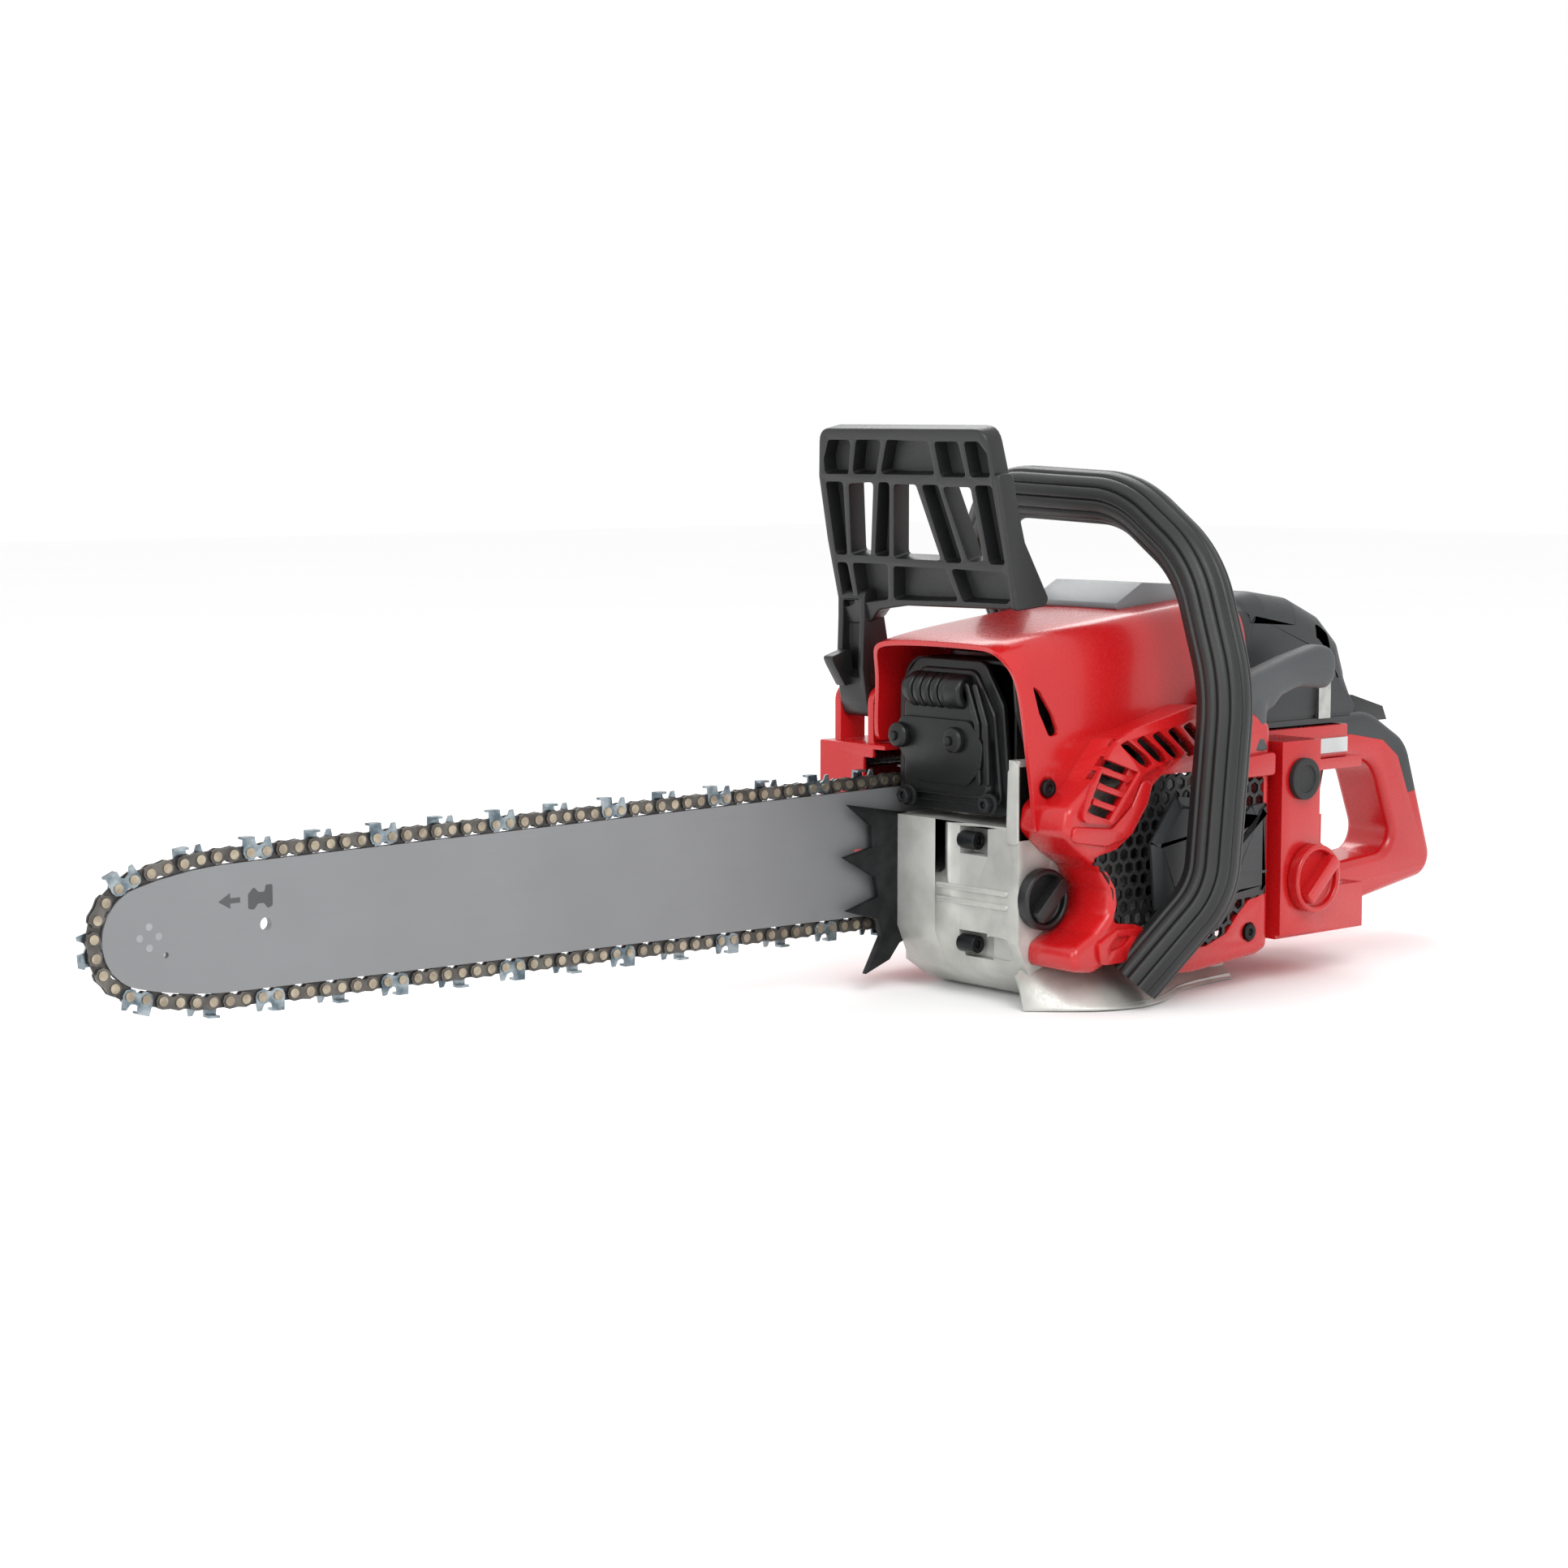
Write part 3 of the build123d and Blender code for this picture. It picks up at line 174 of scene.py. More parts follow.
def plastic(name, dark, light, rough, grain_mm, depth_mm, coat=0.0, mottle_mm=70):
    """A moulded plastic: nearly even colour, with the grain of the mould in its gloss and relief."""
    made = empty_material(name)
    place = add(made, "ShaderNodeTexCoord")
    mottle = add(made, "ShaderNodeTexNoise", {"Scale": cell(mottle_mm), "Detail": 2.0},
                 {"Vector": place.outputs["Object"]})
    grain = add(made, "ShaderNodeTexNoise", {"Scale": cell(grain_mm), "Detail": 2.0},
                {"Vector": place.outputs["Object"]})
    spread = add(made, "ShaderNodeMapRange", {"From Min": 0.35, "From Max": 0.65},
                 {"Value": mottle.outputs["Fac"]})
    tone = add(made, "ShaderNodeMix", {"data_type": "RGBA", 6: linear(dark), 7: linear(light)},
               {0: spread.outputs[0]})
    gloss = add(made, "ShaderNodeMapRange", {"From Min": 0.3, "From Max": 0.7, "To Min": rough[0],
                                             "To Max": rough[1]}, {"Value": grain.outputs["Fac"]})
    relief = add(made, "ShaderNodeBump", {"Distance": depth_mm * MM}, {"Height": grain.outputs["Fac"]})
    skin = add(made, "ShaderNodeBsdfPrincipled", {"IOR": 1.53, "Coat Weight": coat, "Coat Roughness": 0.08},
               {"Base Color": tone.outputs[2], "Roughness": gloss.outputs[0], "Normal": relief.outputs[0]})
    add(made, "ShaderNodeOutputMaterial", (), {"Surface": skin.outputs[0]})
    return made


def modify(piece, kind, **settings):
    """Adds a modifier, sets it and applies it."""
    pick(piece)
    step = piece.modifiers.new(kind.lower(), kind)
    for key, value in settings.items():
        setattr(step, key, value)
    bpy.ops.object.modifier_apply(modifier=step.name)


def edit(piece):
    """Opens a piece in edit mode with everything selected."""
    pick(piece)
    bpy.ops.object.mode_set(mode="EDIT")
    bpy.ops.mesh.select_all(action="SELECT")


def leave():
    bpy.ops.object.mode_set(mode="OBJECT")


def plate(name, outline, axis, start, end):
    """An outline in millimetres, filled and drawn out along an axis from start to end."""
    bpy.ops.object.select_all(action="DESELECT")
    bpy.ops.mesh.primitive_circle_add(vertices=len(outline), radius=0.01)
    made = bpy.context.object
    made.name = name
    for corner, (a, b) in zip(made.data.vertices, outline):
        corner.co = Vector({"x": (start, a, b), "y": (a, start, b), "z": (a, b, start)}[axis]) * MM
    edit(made)
    bpy.ops.mesh.edge_face_add()
    push = [0, 0, 0]
    push["xyz".index(axis)] = (end - start) * MM
    bpy.ops.mesh.extrude_region_move(TRANSFORM_OT_translate={"value": push})
    bpy.ops.mesh.select_all(action="SELECT")
    bpy.ops.mesh.normals_make_consistent(inside=False)
    leave()
    return made


def rod(name, at, radius, axis, start, end, sides=32, tip=None):
    """A turned bar along an axis; at is its centre in the other two directions."""
    bpy.ops.object.select_all(action="DESELECT")
    middle = (start + end) / 2
    place = {"x": (middle, at[0], at[1]), "y": (at[0], middle, at[1]), "z": (at[0], at[1], middle)}[axis]
    turn = {"x": (0, math.pi / 2, 0), "y": (math.pi / 2, 0, 0), "z": (0, 0, 0)}[axis]
    bpy.ops.mesh.primitive_cone_add(vertices=sides, radius1=radius * MM,
                                    radius2=(radius if tip is None else tip) * MM,
                                    depth=abs(end - start) * MM, location=Vector(place) * MM, rotation=turn)
    made = bpy.context.object
    made.name = name
    bpy.ops.object.transform_apply(location=True, rotation=True, scale=True)
    return made


def rounded(outline, radius, steps=4):
    """An outline with its corners replaced by arcs, as a moulding tool cuts them."""
    made = []
    count = len(outline)
    for i, corner in enumerate(outline):
        here = Vector(corner)
        back, on = Vector(outline[i - 1]) - here, Vector(outline[(i + 1) % count]) - here
        half = back.angle(on) / 2
        if half > math.radians(86):
            made.append(tuple(here))
            continue
        reach = min(radius / math.tan(half), back.length * 0.45, on.length * 0.45)
        first, last = here + back.normalized() * reach, here + on.normalized() * reach
        for k in range(steps + 1):
            t = k / steps
            made.append(tuple(first * (1 - t) ** 2 + here * 2 * t * (1 - t) + last * t ** 2))
    return made


def join(*pieces):
    """Puts pieces together in one mesh, under the first one's name."""
    pick(*pieces)
    bpy.ops.object.join()
    return pieces[0]


def cut(piece, *tools):
    """Takes the tools away from the piece."""
    tool = join(*tools) if len(tools) > 1 else tools[0]
    modify(piece, "BOOLEAN", object=tool, operation="DIFFERENCE", solver="EXACT", use_self=True)
    bpy.data.objects.remove(tool)


def soften(piece, width, steps=2, angle=35):
    """Rounds the sharp edges; width in millimetres."""
    modify(piece, "BEVEL", width=width * MM, segments=steps, limit_method="ANGLE",
           angle_limit=math.radians(angle), use_clamp_overlap=True, miter_outer="MITER_ARC")


def done(piece, material, body, slot, *replaced, smooth=32):
    """Smooths a finished piece and hands it to the frame."""
    piece.data.materials.clear()
    piece.data.materials.append(material)
    pick(piece)
    bpy.ops.object.transform_apply(location=True, rotation=True, scale=True)
    bpy.ops.object.shade_smooth_by_angle(angle=math.radians(smooth))
    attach(piece, body)
    if replaced:
        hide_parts(*replaced)


def recast(node, name, width, steps=2, angle=35, flat=2.0):
    """A copy of a CAD node's mesh, merged and with its sharp edges rounded."""
    made = bpy.data.objects.new(name, nodes[node].data.copy())
    bpy.context.scene.collection.objects.link(made)
    pick(made)
    bpy.ops.mesh.customdata_custom_splitnormals_clear()
    edit(made)
    bpy.ops.mesh.remove_doubles(threshold=0.00002)
    bpy.ops.mesh.dissolve_limited(angle_limit=math.radians(flat))
    leave()
    if width:
        soften(made, width, steps, angle)
    return made


BAR_FACE_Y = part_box("guide_bar")[0][1] / MM
ink = plastic("printed_grey_ink", "#3E4042", "#4A4C4E", (0.5, 0.6), 0.8, 0.002)
arrow = plate("run_arrow", [(-487, 84), (-481, 87.5), (-481, 85.2), (-476, 85.2), (-476, 82.8),
                            (-481, 82.8), (-481, 80.5)], "y", BAR_FACE_Y - 0.05, BAR_FACE_Y + 0.1)
tooth_mark = plate("tooth_mark", rounded([(-472, 79.5), (-472, 86), (-469, 89), (-466.5, 86.5),
                                          (-463.5, 86.5), (-463, 89.5), (-459.5, 89.5), (-459.5, 80),
                                          (-462, 79), (-464, 81.5), (-467, 81.5), (-469, 79)], 0.8, 2), "y",
                   BAR_FACE_Y - 0.05, BAR_FACE_Y + 0.1)
done(join(arrow, tooth_mark), ink, "housing", "grey_plastic")

# ---- Chain -------------------------------------------------------------------
# A riveted cutting chain: dark stamped tie straps and drive links, tan hardened rivets,
# and blued cutters with bright chromed top plates that do the cutting.
dress("chain_tie_straps", metal("oiled_stamped_chain_steel", "#4C4A48", "#6B6864", (0.32, 0.5),
                                1.2, 0.02, mottle_mm=9, metallic=0.8))
dress("chain_drive_links", metal("dark_hardened_link_steel", "#3C3B3B", "#55524F", (0.35, 0.55),
                                 1.2, 0.02, mottle_mm=9, metallic=0.8))
dress("chain_rivets", metal("tan_hardened_rivet_steel", "#8D8273", "#B3A894", (0.28, 0.42),
                            0.9, 0.01, mottle_mm=5, metallic=0.85))
dress("chain_cutters", metal("blued_chromed_cutter_steel", "#54626B", "#9CA6AB", (0.2, 0.36),
                             1.5, 0.01, mottle_mm=7, metallic=0.9))
worn_steel = metal("ground_bearing_steel", "#9A9B9C", "#B4B5B6", (0.22, 0.36), 0.8, 0.005, mottle_mm=15)
dress("nose_sprocket", worn_steel)
dress("nose_bearing", metal("nose_rivet_steel", "#8C8E90", "#9DA0A3", (0.35, 0.45), 0.8, 0.004, mottle_mm=15,
                            metallic=0.5))

# ---- Crankcase ---------------------------------------------------------------
# Two magnesium halves die cast and painted silver grey, split on the engine's middle plane.
# The left half carries the foot, a thin skid that sweeps out to the front handle's end.
CASE_DARK, CASE_LIGHT = "#A6A7A2", "#C2C3BE"
cast = metal("painted_cast_magnesium", CASE_DARK, CASE_LIGHT, (0.34, 0.5),
             1.4, 0.03, mottle_mm=25, metallic=0.35)
case_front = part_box("crankcase_left")[0][0] / MM
case_left_piece = recast("crankcase_left", "case_left_half", 2.2, 3)
ribs = [plate("case_rib", rounded([(-45, z), (6.5, z), (6.5, z + 3), (-45, z + 3)], 1.2, 2), "x",
              case_front - 1.2, case_front + 2) for z in (50, 57)]
for rib in ribs:
    soften(rib, 0.9, 2)
channel = plate("bolt_channel", rounded([(-46, 24), (-28, 24), (-28, 36), (-46, 36)], 5, 4), "x",
                case_front - 3, case_front + 5)
cut(case_left_piece, channel)
horn = plate("case_horn", rounded([(-52, 84), (-43.5, 84), (-44.5, 120), (-48, 127), (-52, 124)], 2, 3), "x",
             case_front - 1.0, case_front + 8)
soften(horn, 1.2, 3)
# each row: x, height at the wall, y of the outer edge
SKID = ((-86, 20, -54), (-80, 21, -60), (-70, 23, -71), (-58, 24, -81), (-44, 24, -87), (-30, 23, -88),
        (-14, 20, -85), (2, 16, -76), (18, 12, -67), (40, 9, -62), (66, 9, -60))
WALL_Y = -49.0
SOLE = 0.4                # height of the lowest points
# across the skid: share of the way out, share of the way up
PROFILE = ((0, 1), (0.25, 0.86), (0.55, 0.56), (0.8, 0.27), (0.95, 0.1), (1, 0.03), (0.9, 0.0))


def skin(name, rows, levels, thickness):
    """A smooth sheet through rows of points, made solid downwards; thickness in millimetres."""
    bpy.ops.object.select_all(action="DESELECT")
    bpy.ops.mesh.primitive_grid_add(x_subdivisions=len(rows) - 1, y_subdivisions=len(rows[0]) - 1, size=0.1)
    made = bpy.context.object
    made.name = name
    grid = sorted(made.data.vertices, key=lambda v: (round(v.co.x, 5), round(v.co.y, 5)))
    for vertex, point in zip(grid, [point for row in rows for point in row]):
        vertex.co = Vector(point) * MM
    edit(made)
    bpy.ops.mesh.normals_make_consistent(inside=False)
    leave()
    modify(made, "SUBSURF", levels=levels, render_levels=levels)
    if sum(face.normal.z for face in made.data.polygons) < 0:
        edit(made)
        bpy.ops.mesh.flip_normals()
        leave()
    modify(made, "SOLIDIFY", thickness=thickness * MM, offset=-1)
    return made


skid_rows = [[(x, WALL_Y + (edge_y - WALL_Y) * out, SOLE + (height - SOLE) * up) for out, up in PROFILE]
             for x, height, edge_y in SKID]
skid = skin("foot_skid", skid_rows, 2, 3.0)
edit(skid)
bpy.ops.mesh.bisect(plane_co=(0, 0, 0), plane_no=(0, 0, -1), use_fill=True, clear_outer=True)
leave()
cut(case_left_piece, plate("foot_trim", [(-120, -120), (80, -120), (80, -53), (-120, -53)], "z", -5, 30))
bolts = []
for z in (83, 30):
    bolt = rod("case_bolt", (case_front + 3.0, z), 4.6, "y", -21, -9, 40)
    cut(bolt, rod("bolt_socket", (case_front + 3.0, z), 2.2, "y", -24, -18.5, 6))
    soften(bolt, 0.6, 3)
    bolts.append(bolt)
done(join(case_left_piece, horn, skid, *ribs), cast, "housing", "cast_magnesium", "crankcase_left")
done(recast("crankcase_right", "case_right_half", 2.2, 3), cast, "housing", "cast_magnesium",
     "crankcase_right")

# ---- Engine ------------------------------------------------------------------
# A two-stroke: forged and ground crankshaft and rod, cast aluminium piston and finned
# cylinder, turned alloy flywheel with magnets, and an ignition coil potted in black resin.
alloy = metal("cast_aluminium", "#8E9091", "#A6A8A9", (0.4, 0.58), 1.6, 0.04, mottle_mm=14)
bright = metal("zinc_plated_steel", "#9C9D9B", "#BDBDB9", (0.24, 0.38), 0.8, 0.006, mottle_mm=10)
blackened = metal("phosphated_black_steel", "#1F2021", "#2F3032", (0.36, 0.52),
                  1.0, 0.01, mottle_mm=12, metallic=0.7)
black_nylon = plastic("glass_filled_black_nylon", "#0F1011", "#161718", (0.34, 0.48), 0.9, 0.012)
grey_nylon = plastic("glass_filled_grey_nylon", "#242628", "#2B2E30", (0.38, 0.52), 0.9, 0.012)
red_abs = plastic("moulded_gloss_red_abs", "#AE0E13", "#BA1518", (0.24, 0.3), 2.0, 0.002, coat=0.2)
fibre = plastic("pressed_gasket_fibre", "#55534E", "#6A675F", (0.75, 0.9), 0.7, 0.03, mottle_mm=5)
foam = plastic("oiled_filter_felt", "#B9B4A4", "#CCC7B8", (0.85, 0.95), 1.2, 0.25, mottle_mm=4)
rope_weave = plastic("braided_nylon_rope", "#C9C9C2", "#E0E0DA", (0.6, 0.75), 0.9, 0.2, mottle_mm=3)
boot_rubber = plastic("moulded_black_rubber", "#1A1B1C", "#242526", (0.6, 0.72), 1.0, 0.02)
for node in ("crankshaft", "connecting_rod", "crank_bearings", "piston_rings_and_pin", "bar_studs_and_nuts",
             "pivot_pins", "throttle_valve", "filter_cover_clips", "chain_tensioner"):
    dress(node, bright)
for node in ("piston", "cylinder", "flywheel", "carburettor"):
    dress(node, alloy)
for node in ("clutch", "clutch_drum", "brake_band", "rewind_spring"):
    dress(node, worn_steel)
dress("muffler_body", blackened)
for node in ("ignition_coil", "starter_pulley", "oil_pump", "chain_catcher"):
    dress(node, black_nylon)
dress("gaskets", fibre)
dress("spark_plug", boot_rubber)
dress("intake_boot", boot_rubber)
dress("air_filter", foam)
dress("starter_rope", rope_weave)

# ---- Muffler -----------------------------------------------------------------
# Two pressed steel shells with a black heat-proof finish. The front one has a ribbed
# chamber pressed in its upper left, a cover plate on two studs and two bolts at its foot.
heat_black = metal("stoved_black_muffler_steel", "#0D0E0F", "#151718", (0.3, 0.46), 1.3, 0.015, mottle_mm=20,
                   metallic=0.25)
lo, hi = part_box("muffler_cover")
face_x = lo[0] / MM
m_y0, m_y1, m_z0, m_z1 = lo[1] / MM, hi[1] / MM, lo[2] / MM, hi[2] / MM
PAN = [(m_y0, m_z0), (m_y1, m_z0), (m_y1, m_z1 - 14), (m_y1 - 14, m_z1), (m_y0 + 20, m_z1),
       (m_y0 + 6, m_z1 - 22)]
pan_mid = Vector(((m_y0 + m_y1) / 2, (m_z0 + m_z1) / 2))


def shrunk(outline, middle, margin):
    """The outline drawn towards its middle by about a margin."""
    made = []
    for corner in outline:
        arm = Vector(corner) - middle
        made.append(tuple(middle + Vector((arm.x - math.copysign(margin, arm.x),
                                           arm.y - math.copysign(margin, arm.y)))))
    return made


pan = plate("muffler_pressing", rounded(PAN, 8, 6), "x", face_x + 12, face_x + 8.5)
soften(pan, 1.0, 3)
bead = plate("muffler_bead", rounded(shrunk(PAN, pan_mid, 4.5), 8, 6), "x", face_x + 10, face_x + 6.5)
soften(bead, 1.6, 4)
dome = plate("muffler_dome", rounded(shrunk(PAN, pan_mid, 8.5), 8, 6), "x", face_x + 9, face_x + 2.2)
soften(dome, 3.0, 5)
join(pan, bead, dome)
front_x = face_x + 2.2
chamber = []
for i in range(5):
    y = m_y1 - 16 - 6.2 * i
    fin = rod("chamber_rib", (front_x + 2.5, 158), 9.2, "y", y - 5.3, y, 28)
    soften(fin, 1.6, 3)
    chamber.append(fin)
core = rod("chamber_core", (front_x + 2.5, 158), 7.6, "y", m_y0 + 26, m_y1 - 12, 28)
soften(core, 2.5, 4)
drum = rod("chamber_end", (front_x + 2.5, 158), 9.0, "y", m_y0 + 26, m_y0 + 40, 28)
soften(drum, 2.5, 4)
chamber += [core, drum]
stud_plate = plate("stud_plate", rounded([(m_y1 - 8, 144), (m_y0 + 22, 144), (m_y0 + 12, 132),
                                          (m_y0 + 14, 120), (m_y0 + 24, 111), (m_y1 - 22, 111),
                                          (m_y1 - 6, 130)], 6, 5), "x", front_x, front_x - 2.2)
soften(stud_plate, 0.8, 2)
studs = []
for y in (29, -11):
    cone = rod("stud_boss", (y, 134), 6.6, "x", front_x + 0.5, front_x - 6.5, 32)
    soften(cone, 1.8, 3)
    tip = rod("stud_tip", (y + 1.5, 133.5), 2.6, "x", front_x - 5, front_x - 8.2, 20)
    soften(tip, 0.6, 2)
    studs += [cone, tip]
ridges = []
for shift in (0, 6):
    ridge = plate("side_ridge", rounded([(m_y0 + 8 + shift, 112), (m_y0 + 11.5 + shift, 112),
                                         (m_y0 + 13 + shift, 142), (m_y0 + 21 + shift, 162),
                                         (m_y0 + 18 + shift, 164), (m_y0 + 9.5 + shift, 143)], 1.5, 2), "x",
                  front_x + 1, front_x - 2.0)
    soften(ridge, 1.1, 3)
    ridges.append(ridge)
done(join(pan, stud_plate, *chamber, *studs, *ridges), heat_black, "housing", "black_steel", "muffler_cover")
lower_bolts = []
for y in (m_y1 - 14, m_y0 + 9):
    washer = rod("muffler_washer", (y, 103), 5.6, "x", front_x + 1, front_x - 1.2, 32)
    head = rod("muffler_bolt", (y, 103), 4.2, "x", front_x - 1, front_x - 5.5, 6)
    well = rod("bolt_socket", (y, 103), 2.0, "x", front_x - 3, front_x - 6, 6)
    cut(head, well)
    soften(head, 0.5, 2)
    soften(washer, 0.4, 2)
    lower_bolts += [washer, head]
done(join(*lower_bolts), blackened, "housing", "black_steel", "muffler_bolts")

# ---- Bumper spike ------------------------------------------------------------
# Laser-cut spring steel teeth, blackened, screwed to the clutch side of the case.
done(recast("bumper_spike", "bumper_teeth", 0.6, 2), blackened, "housing", "black_steel", "bumper_spike")

# ---- Clutch side -------------------------------------------------------------
# A red moulded cover over the drum and the end of the bar, held by two flanged nuts.
done(recast("clutch_cover", "clutch_side_cover", 1.2, 3), red_abs, "housing", "red_abs", "clutch_cover")

# ---- Hand guard --------------------------------------------------------------
# The chain brake's lever: one black nylon moulding with a thin rear skin and a web of
# ribs in front, open in three places, leaning forwards on its pivot arm.
HINGE = (-102.0, 262.0)
LEAN = math.radians(12.7)
GUARD_DEPTH = 11.0
guard_lo, guard_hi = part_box("hand_guard")
gy0, gy1 = guard_lo[1] / MM + 3, guard_hi[1] / MM
shield = plate("guard_shield", rounded([(gy1 - 7, 29), (gy0 + 2, 28), (gy0, 0), (gy0 - 1, -38),
                                        (gy0 - 3, -63), (30, -64), (52, -67), (60, -74), (gy1, -76),
                                        (gy1 + 1, -30), (gy1 - 0.5, 4)], 9, 5), "x", 0, GUARD_DEPTH)
soften(shield, 1.2, 3)
POCKETS = ([(69, 23), (52, 23), (58, 5), (76, 5), (75, 13)], [(48, 23), (29, 23), (37, 5), (55, 5)],
           [(25, 23), (-5, 22), (-6, 5), (34, 5)], [(-9, 22), (-26, 22), (-28, 4), (-10, 4)],
           [(-30, 22), (-40, 22), (-45, 16), (-45, 4), (-31, 4)], [(76.5, 1), (63, 1), (69, -38), (78, -38)],
           [(36, 1), (28, 1), (37, -38), (48, -38)], [(5, 0), (-7, 0), (-16, -40), (-4, -40)],
           [(-33, 0), (-45, 0), (-46, -40), (-35, -40)], [(78, -42), (70, -42), (69, -64), (78, -67)],
           [(66, -42), (39, -42), (43, -61), (66, -64)], [(35, -43), (-3, -43), (-9, -60), (39, -61)],
           [(-7, -43), (-44, -44), (-49, -50), (-47, -57), (-43, -60), (-12, -60)])
OPENINGS = ([(59, 0), (40, 1), (51, -38), (66, -38)], [(25, 0), (9, 0), (-1, -39), (34, -39)],
            [(-10, -1), (-30, -1), (-31, -39), (-20, -39)])
hollows = [plate("guard_pocket", rounded(p, 2.2, 3), "x", -2, GUARD_DEPTH - 2.5) for p in POCKETS]
hollows += [plate("guard_opening", rounded(p, 2.2, 3), "x", -2, GUARD_DEPTH + 2) for p in OPENINGS]
cut(shield, *hollows)
soften(shield, 0.5, 2, 50)
shield.data.transform(Matrix.Translation((HINGE[0] * MM, 0, HINGE[1] * MM)) @ Matrix.Rotation(-LEAN, 4, "Y"))
px, pz = -78.0, 148.0     # the guard's pivot
side_wall = plate("guard_side_wall", rounded([(-104, 268), (-93, 268), (-89, 251), (-84, 234), (-67, 206),
                                              (-69, 202), (-90, 200), (-97, 236)], 3, 4), "y",
                  gy0 - 3.2, gy0 + 1.2)
soften(side_wall, 1.2, 3)
arm = plate("guard_arm", rounded([(-89, 206), (-89, 192), (px - 12, 166), (px - 9, pz), (px - 6, pz - 8),
                                  (px + 6, pz - 8), (px + 9, pz), (px + 8, 172), (-75, 196), (-80, 208)],
                                 5, 4), "y", 61, gy1 - 0.5)
cut(arm, plate("arm_pocket", rounded([(-96, 200), (px - 20, 166), (px - 14, 160), (px - 4, 164),
                                      (px - 6, 180), (-84, 202)], 3, 3), "y", 65, gy1 - 4.5),
    rod("arm_bore", (px, pz), 3.05, "y", 50, 95, 32))
soften(arm, 0.9, 2, 45)
lug = plate("guard_lug", rounded([(px - 22, 168), (px - 24, 172), (px - 10, 176), (px - 8, 158),
                                  (px - 14, 156)], 2, 3), "y", 72, 79)
soften(lug, 0.8, 2)
done(join(shield, side_wall, arm, lug), black_nylon, "hand_guard", "black_plastic", "hand_guard")

# ---- Starter side cover ------------------------------------------------------
# A red moulding over flywheel and recoil starter. Slanted fins let the cooling air in
# along its upper edge, a band sweeps round the oil cap, and a foot takes the lower screw.
START_OUT, START_IN = -84.0, -52.3
COVER_EDGE = [(-88, 92), (-86, 104), (-68, 116), (-48, 136), (8, 150), (46, 148), (66, 138), (66, 20),
              (58, 17), (8, 13), (-12, 14), (-20, 24), (-54, 25), (-66, 21), (-81, 23), (-81, 34),
              (-66, 41), (-56, 50), (-55, 60), (-61, 72), (-74, 80)]
WINDOW = [(-70, 79), (-52, 82), (-40, 89), (-29, 103), (-26, 112), (-19, 117), (4, 117), (30, 114),
          (60, 112), (60, 48), (50, 47), (42, 41), (32, 31), (16, 26), (-8, 27), (-22, 38), (-38, 43),
          (-54, 45), (-51, 54), (-52, 62), (-58, 71)]
cover = plate("starter_shell", rounded(COVER_EDGE, 7, 5), "y", START_OUT, START_IN)


def round_edges(piece, test, width, steps):
    """Rounds the edges whose two end points pass the test; width in millimetres."""
    pick(piece)
    bpy.ops.object.mode_set(mode="EDIT")
    bpy.ops.mesh.select_mode(type="EDGE")
    bpy.ops.mesh.select_all(action="DESELECT")
    leave()
    for edge in piece.data.edges:
        edge.select = test([piece.data.vertices[v].co for v in edge.vertices])
    bpy.ops.object.mode_set(mode="EDIT")
    bpy.ops.mesh.bevel(offset=width * MM, segments=steps, affect="EDGES")
    leave()


round_edges(cover, lambda ends: all(abs(end.y - START_OUT * MM) < 1e-6 for end in ends), 4.0, 4)
inner = plate("starter_hollow", rounded([(-78, 92), (-64, 112), (-45, 132.5), (8, 146.5), (46, 144.5),
                                         (63, 136), (63, 22), (8, 16.5), (-10, 17.5), (-18, 28), (-50, 29),
                                         (-50, 44), (-51, 62), (-58, 74)], 4, 3), "y",
              START_OUT + 2.6, START_IN + 4)
opening = plate("starter_window", rounded(WINDOW, 5, 5), "y", START_OUT - 4, START_OUT + 8)


def air_slot(i):
    """Outline of the slanted air slot number i, counted from the front."""
    x = -52 + 11.5 * i
    return rounded([(x - 1, 134.5 + 1.6 * i), (x + 5, 136.5 + 1.6 * i), (x + 19, 128 + i), (x + 24, 123 + i),
                    (x + 19, 121.5 + 1.1 * i), (x + 13, 124.5 + 1.2 * i)], 1.2, 2)


upper = [plate("air_slot", air_slot(i), "y", START_OUT - 4, START_OUT + 8) for i in range(5)]
lower = []
for x, z in ((-63, 125), (-67, 117.5), (-70, 110), (-73, 102.5)):
    edge = rounded([(x, z), (x + 4, z + 4.5), (x + 21, z - 1.5), (x + 17, z - 7)], 1.2, 2)
    lower.append(plate("air_slot", edge, "y", START_OUT - 4, START_OUT + 8))
bolt_well = rod("bolt_well", (50, 30), 5.2, "y", START_OUT - 3, START_OUT + 2.2, 32)
cut(cover, inner)
cut(cover, opening, *upper, *lower, bolt_well)
soften(cover, 0.7, 2, 50)
rim = plate("vent_rim", rounded([(-80, 98), (-70, 117), (-54, 136), (-42, 141.5), (4, 151), (40, 150),
                                 (42, 133), (-10, 126), (-22, 122.5), (-36, 118), (-46, 103), (-58, 95)],
                                4, 4), "y", START_OUT - 2.6, START_OUT + 1)
rim_holes = [plate("rim_hole", [(-62, 128), (-39, 120), (-60, 97.5), (-76, 102.5)], "y", START_OUT - 5,
                   START_OUT + 3)]
rim_holes += [plate("rim_slot", air_slot(i), "y", START_OUT - 5, START_OUT + 3) for i in range(5)]
cut(rim, *rim_holes)
soften(rim, 0.9, 2, 40)
slats = []
for x, z in ((-65, 121.3), (-68.5, 113.8), (-71.5, 106.3)):
    slat = plate("vent_slat", rounded([(x, z), (x + 1.5, z + 2.6), (x + 22, z - 3.6), (x + 20, z - 6.4)],
                                      0.8, 2), "y", START_OUT - 2.0, START_OUT + 1.5)
    soften(slat, 0.8, 2)
    slats.append(slat)
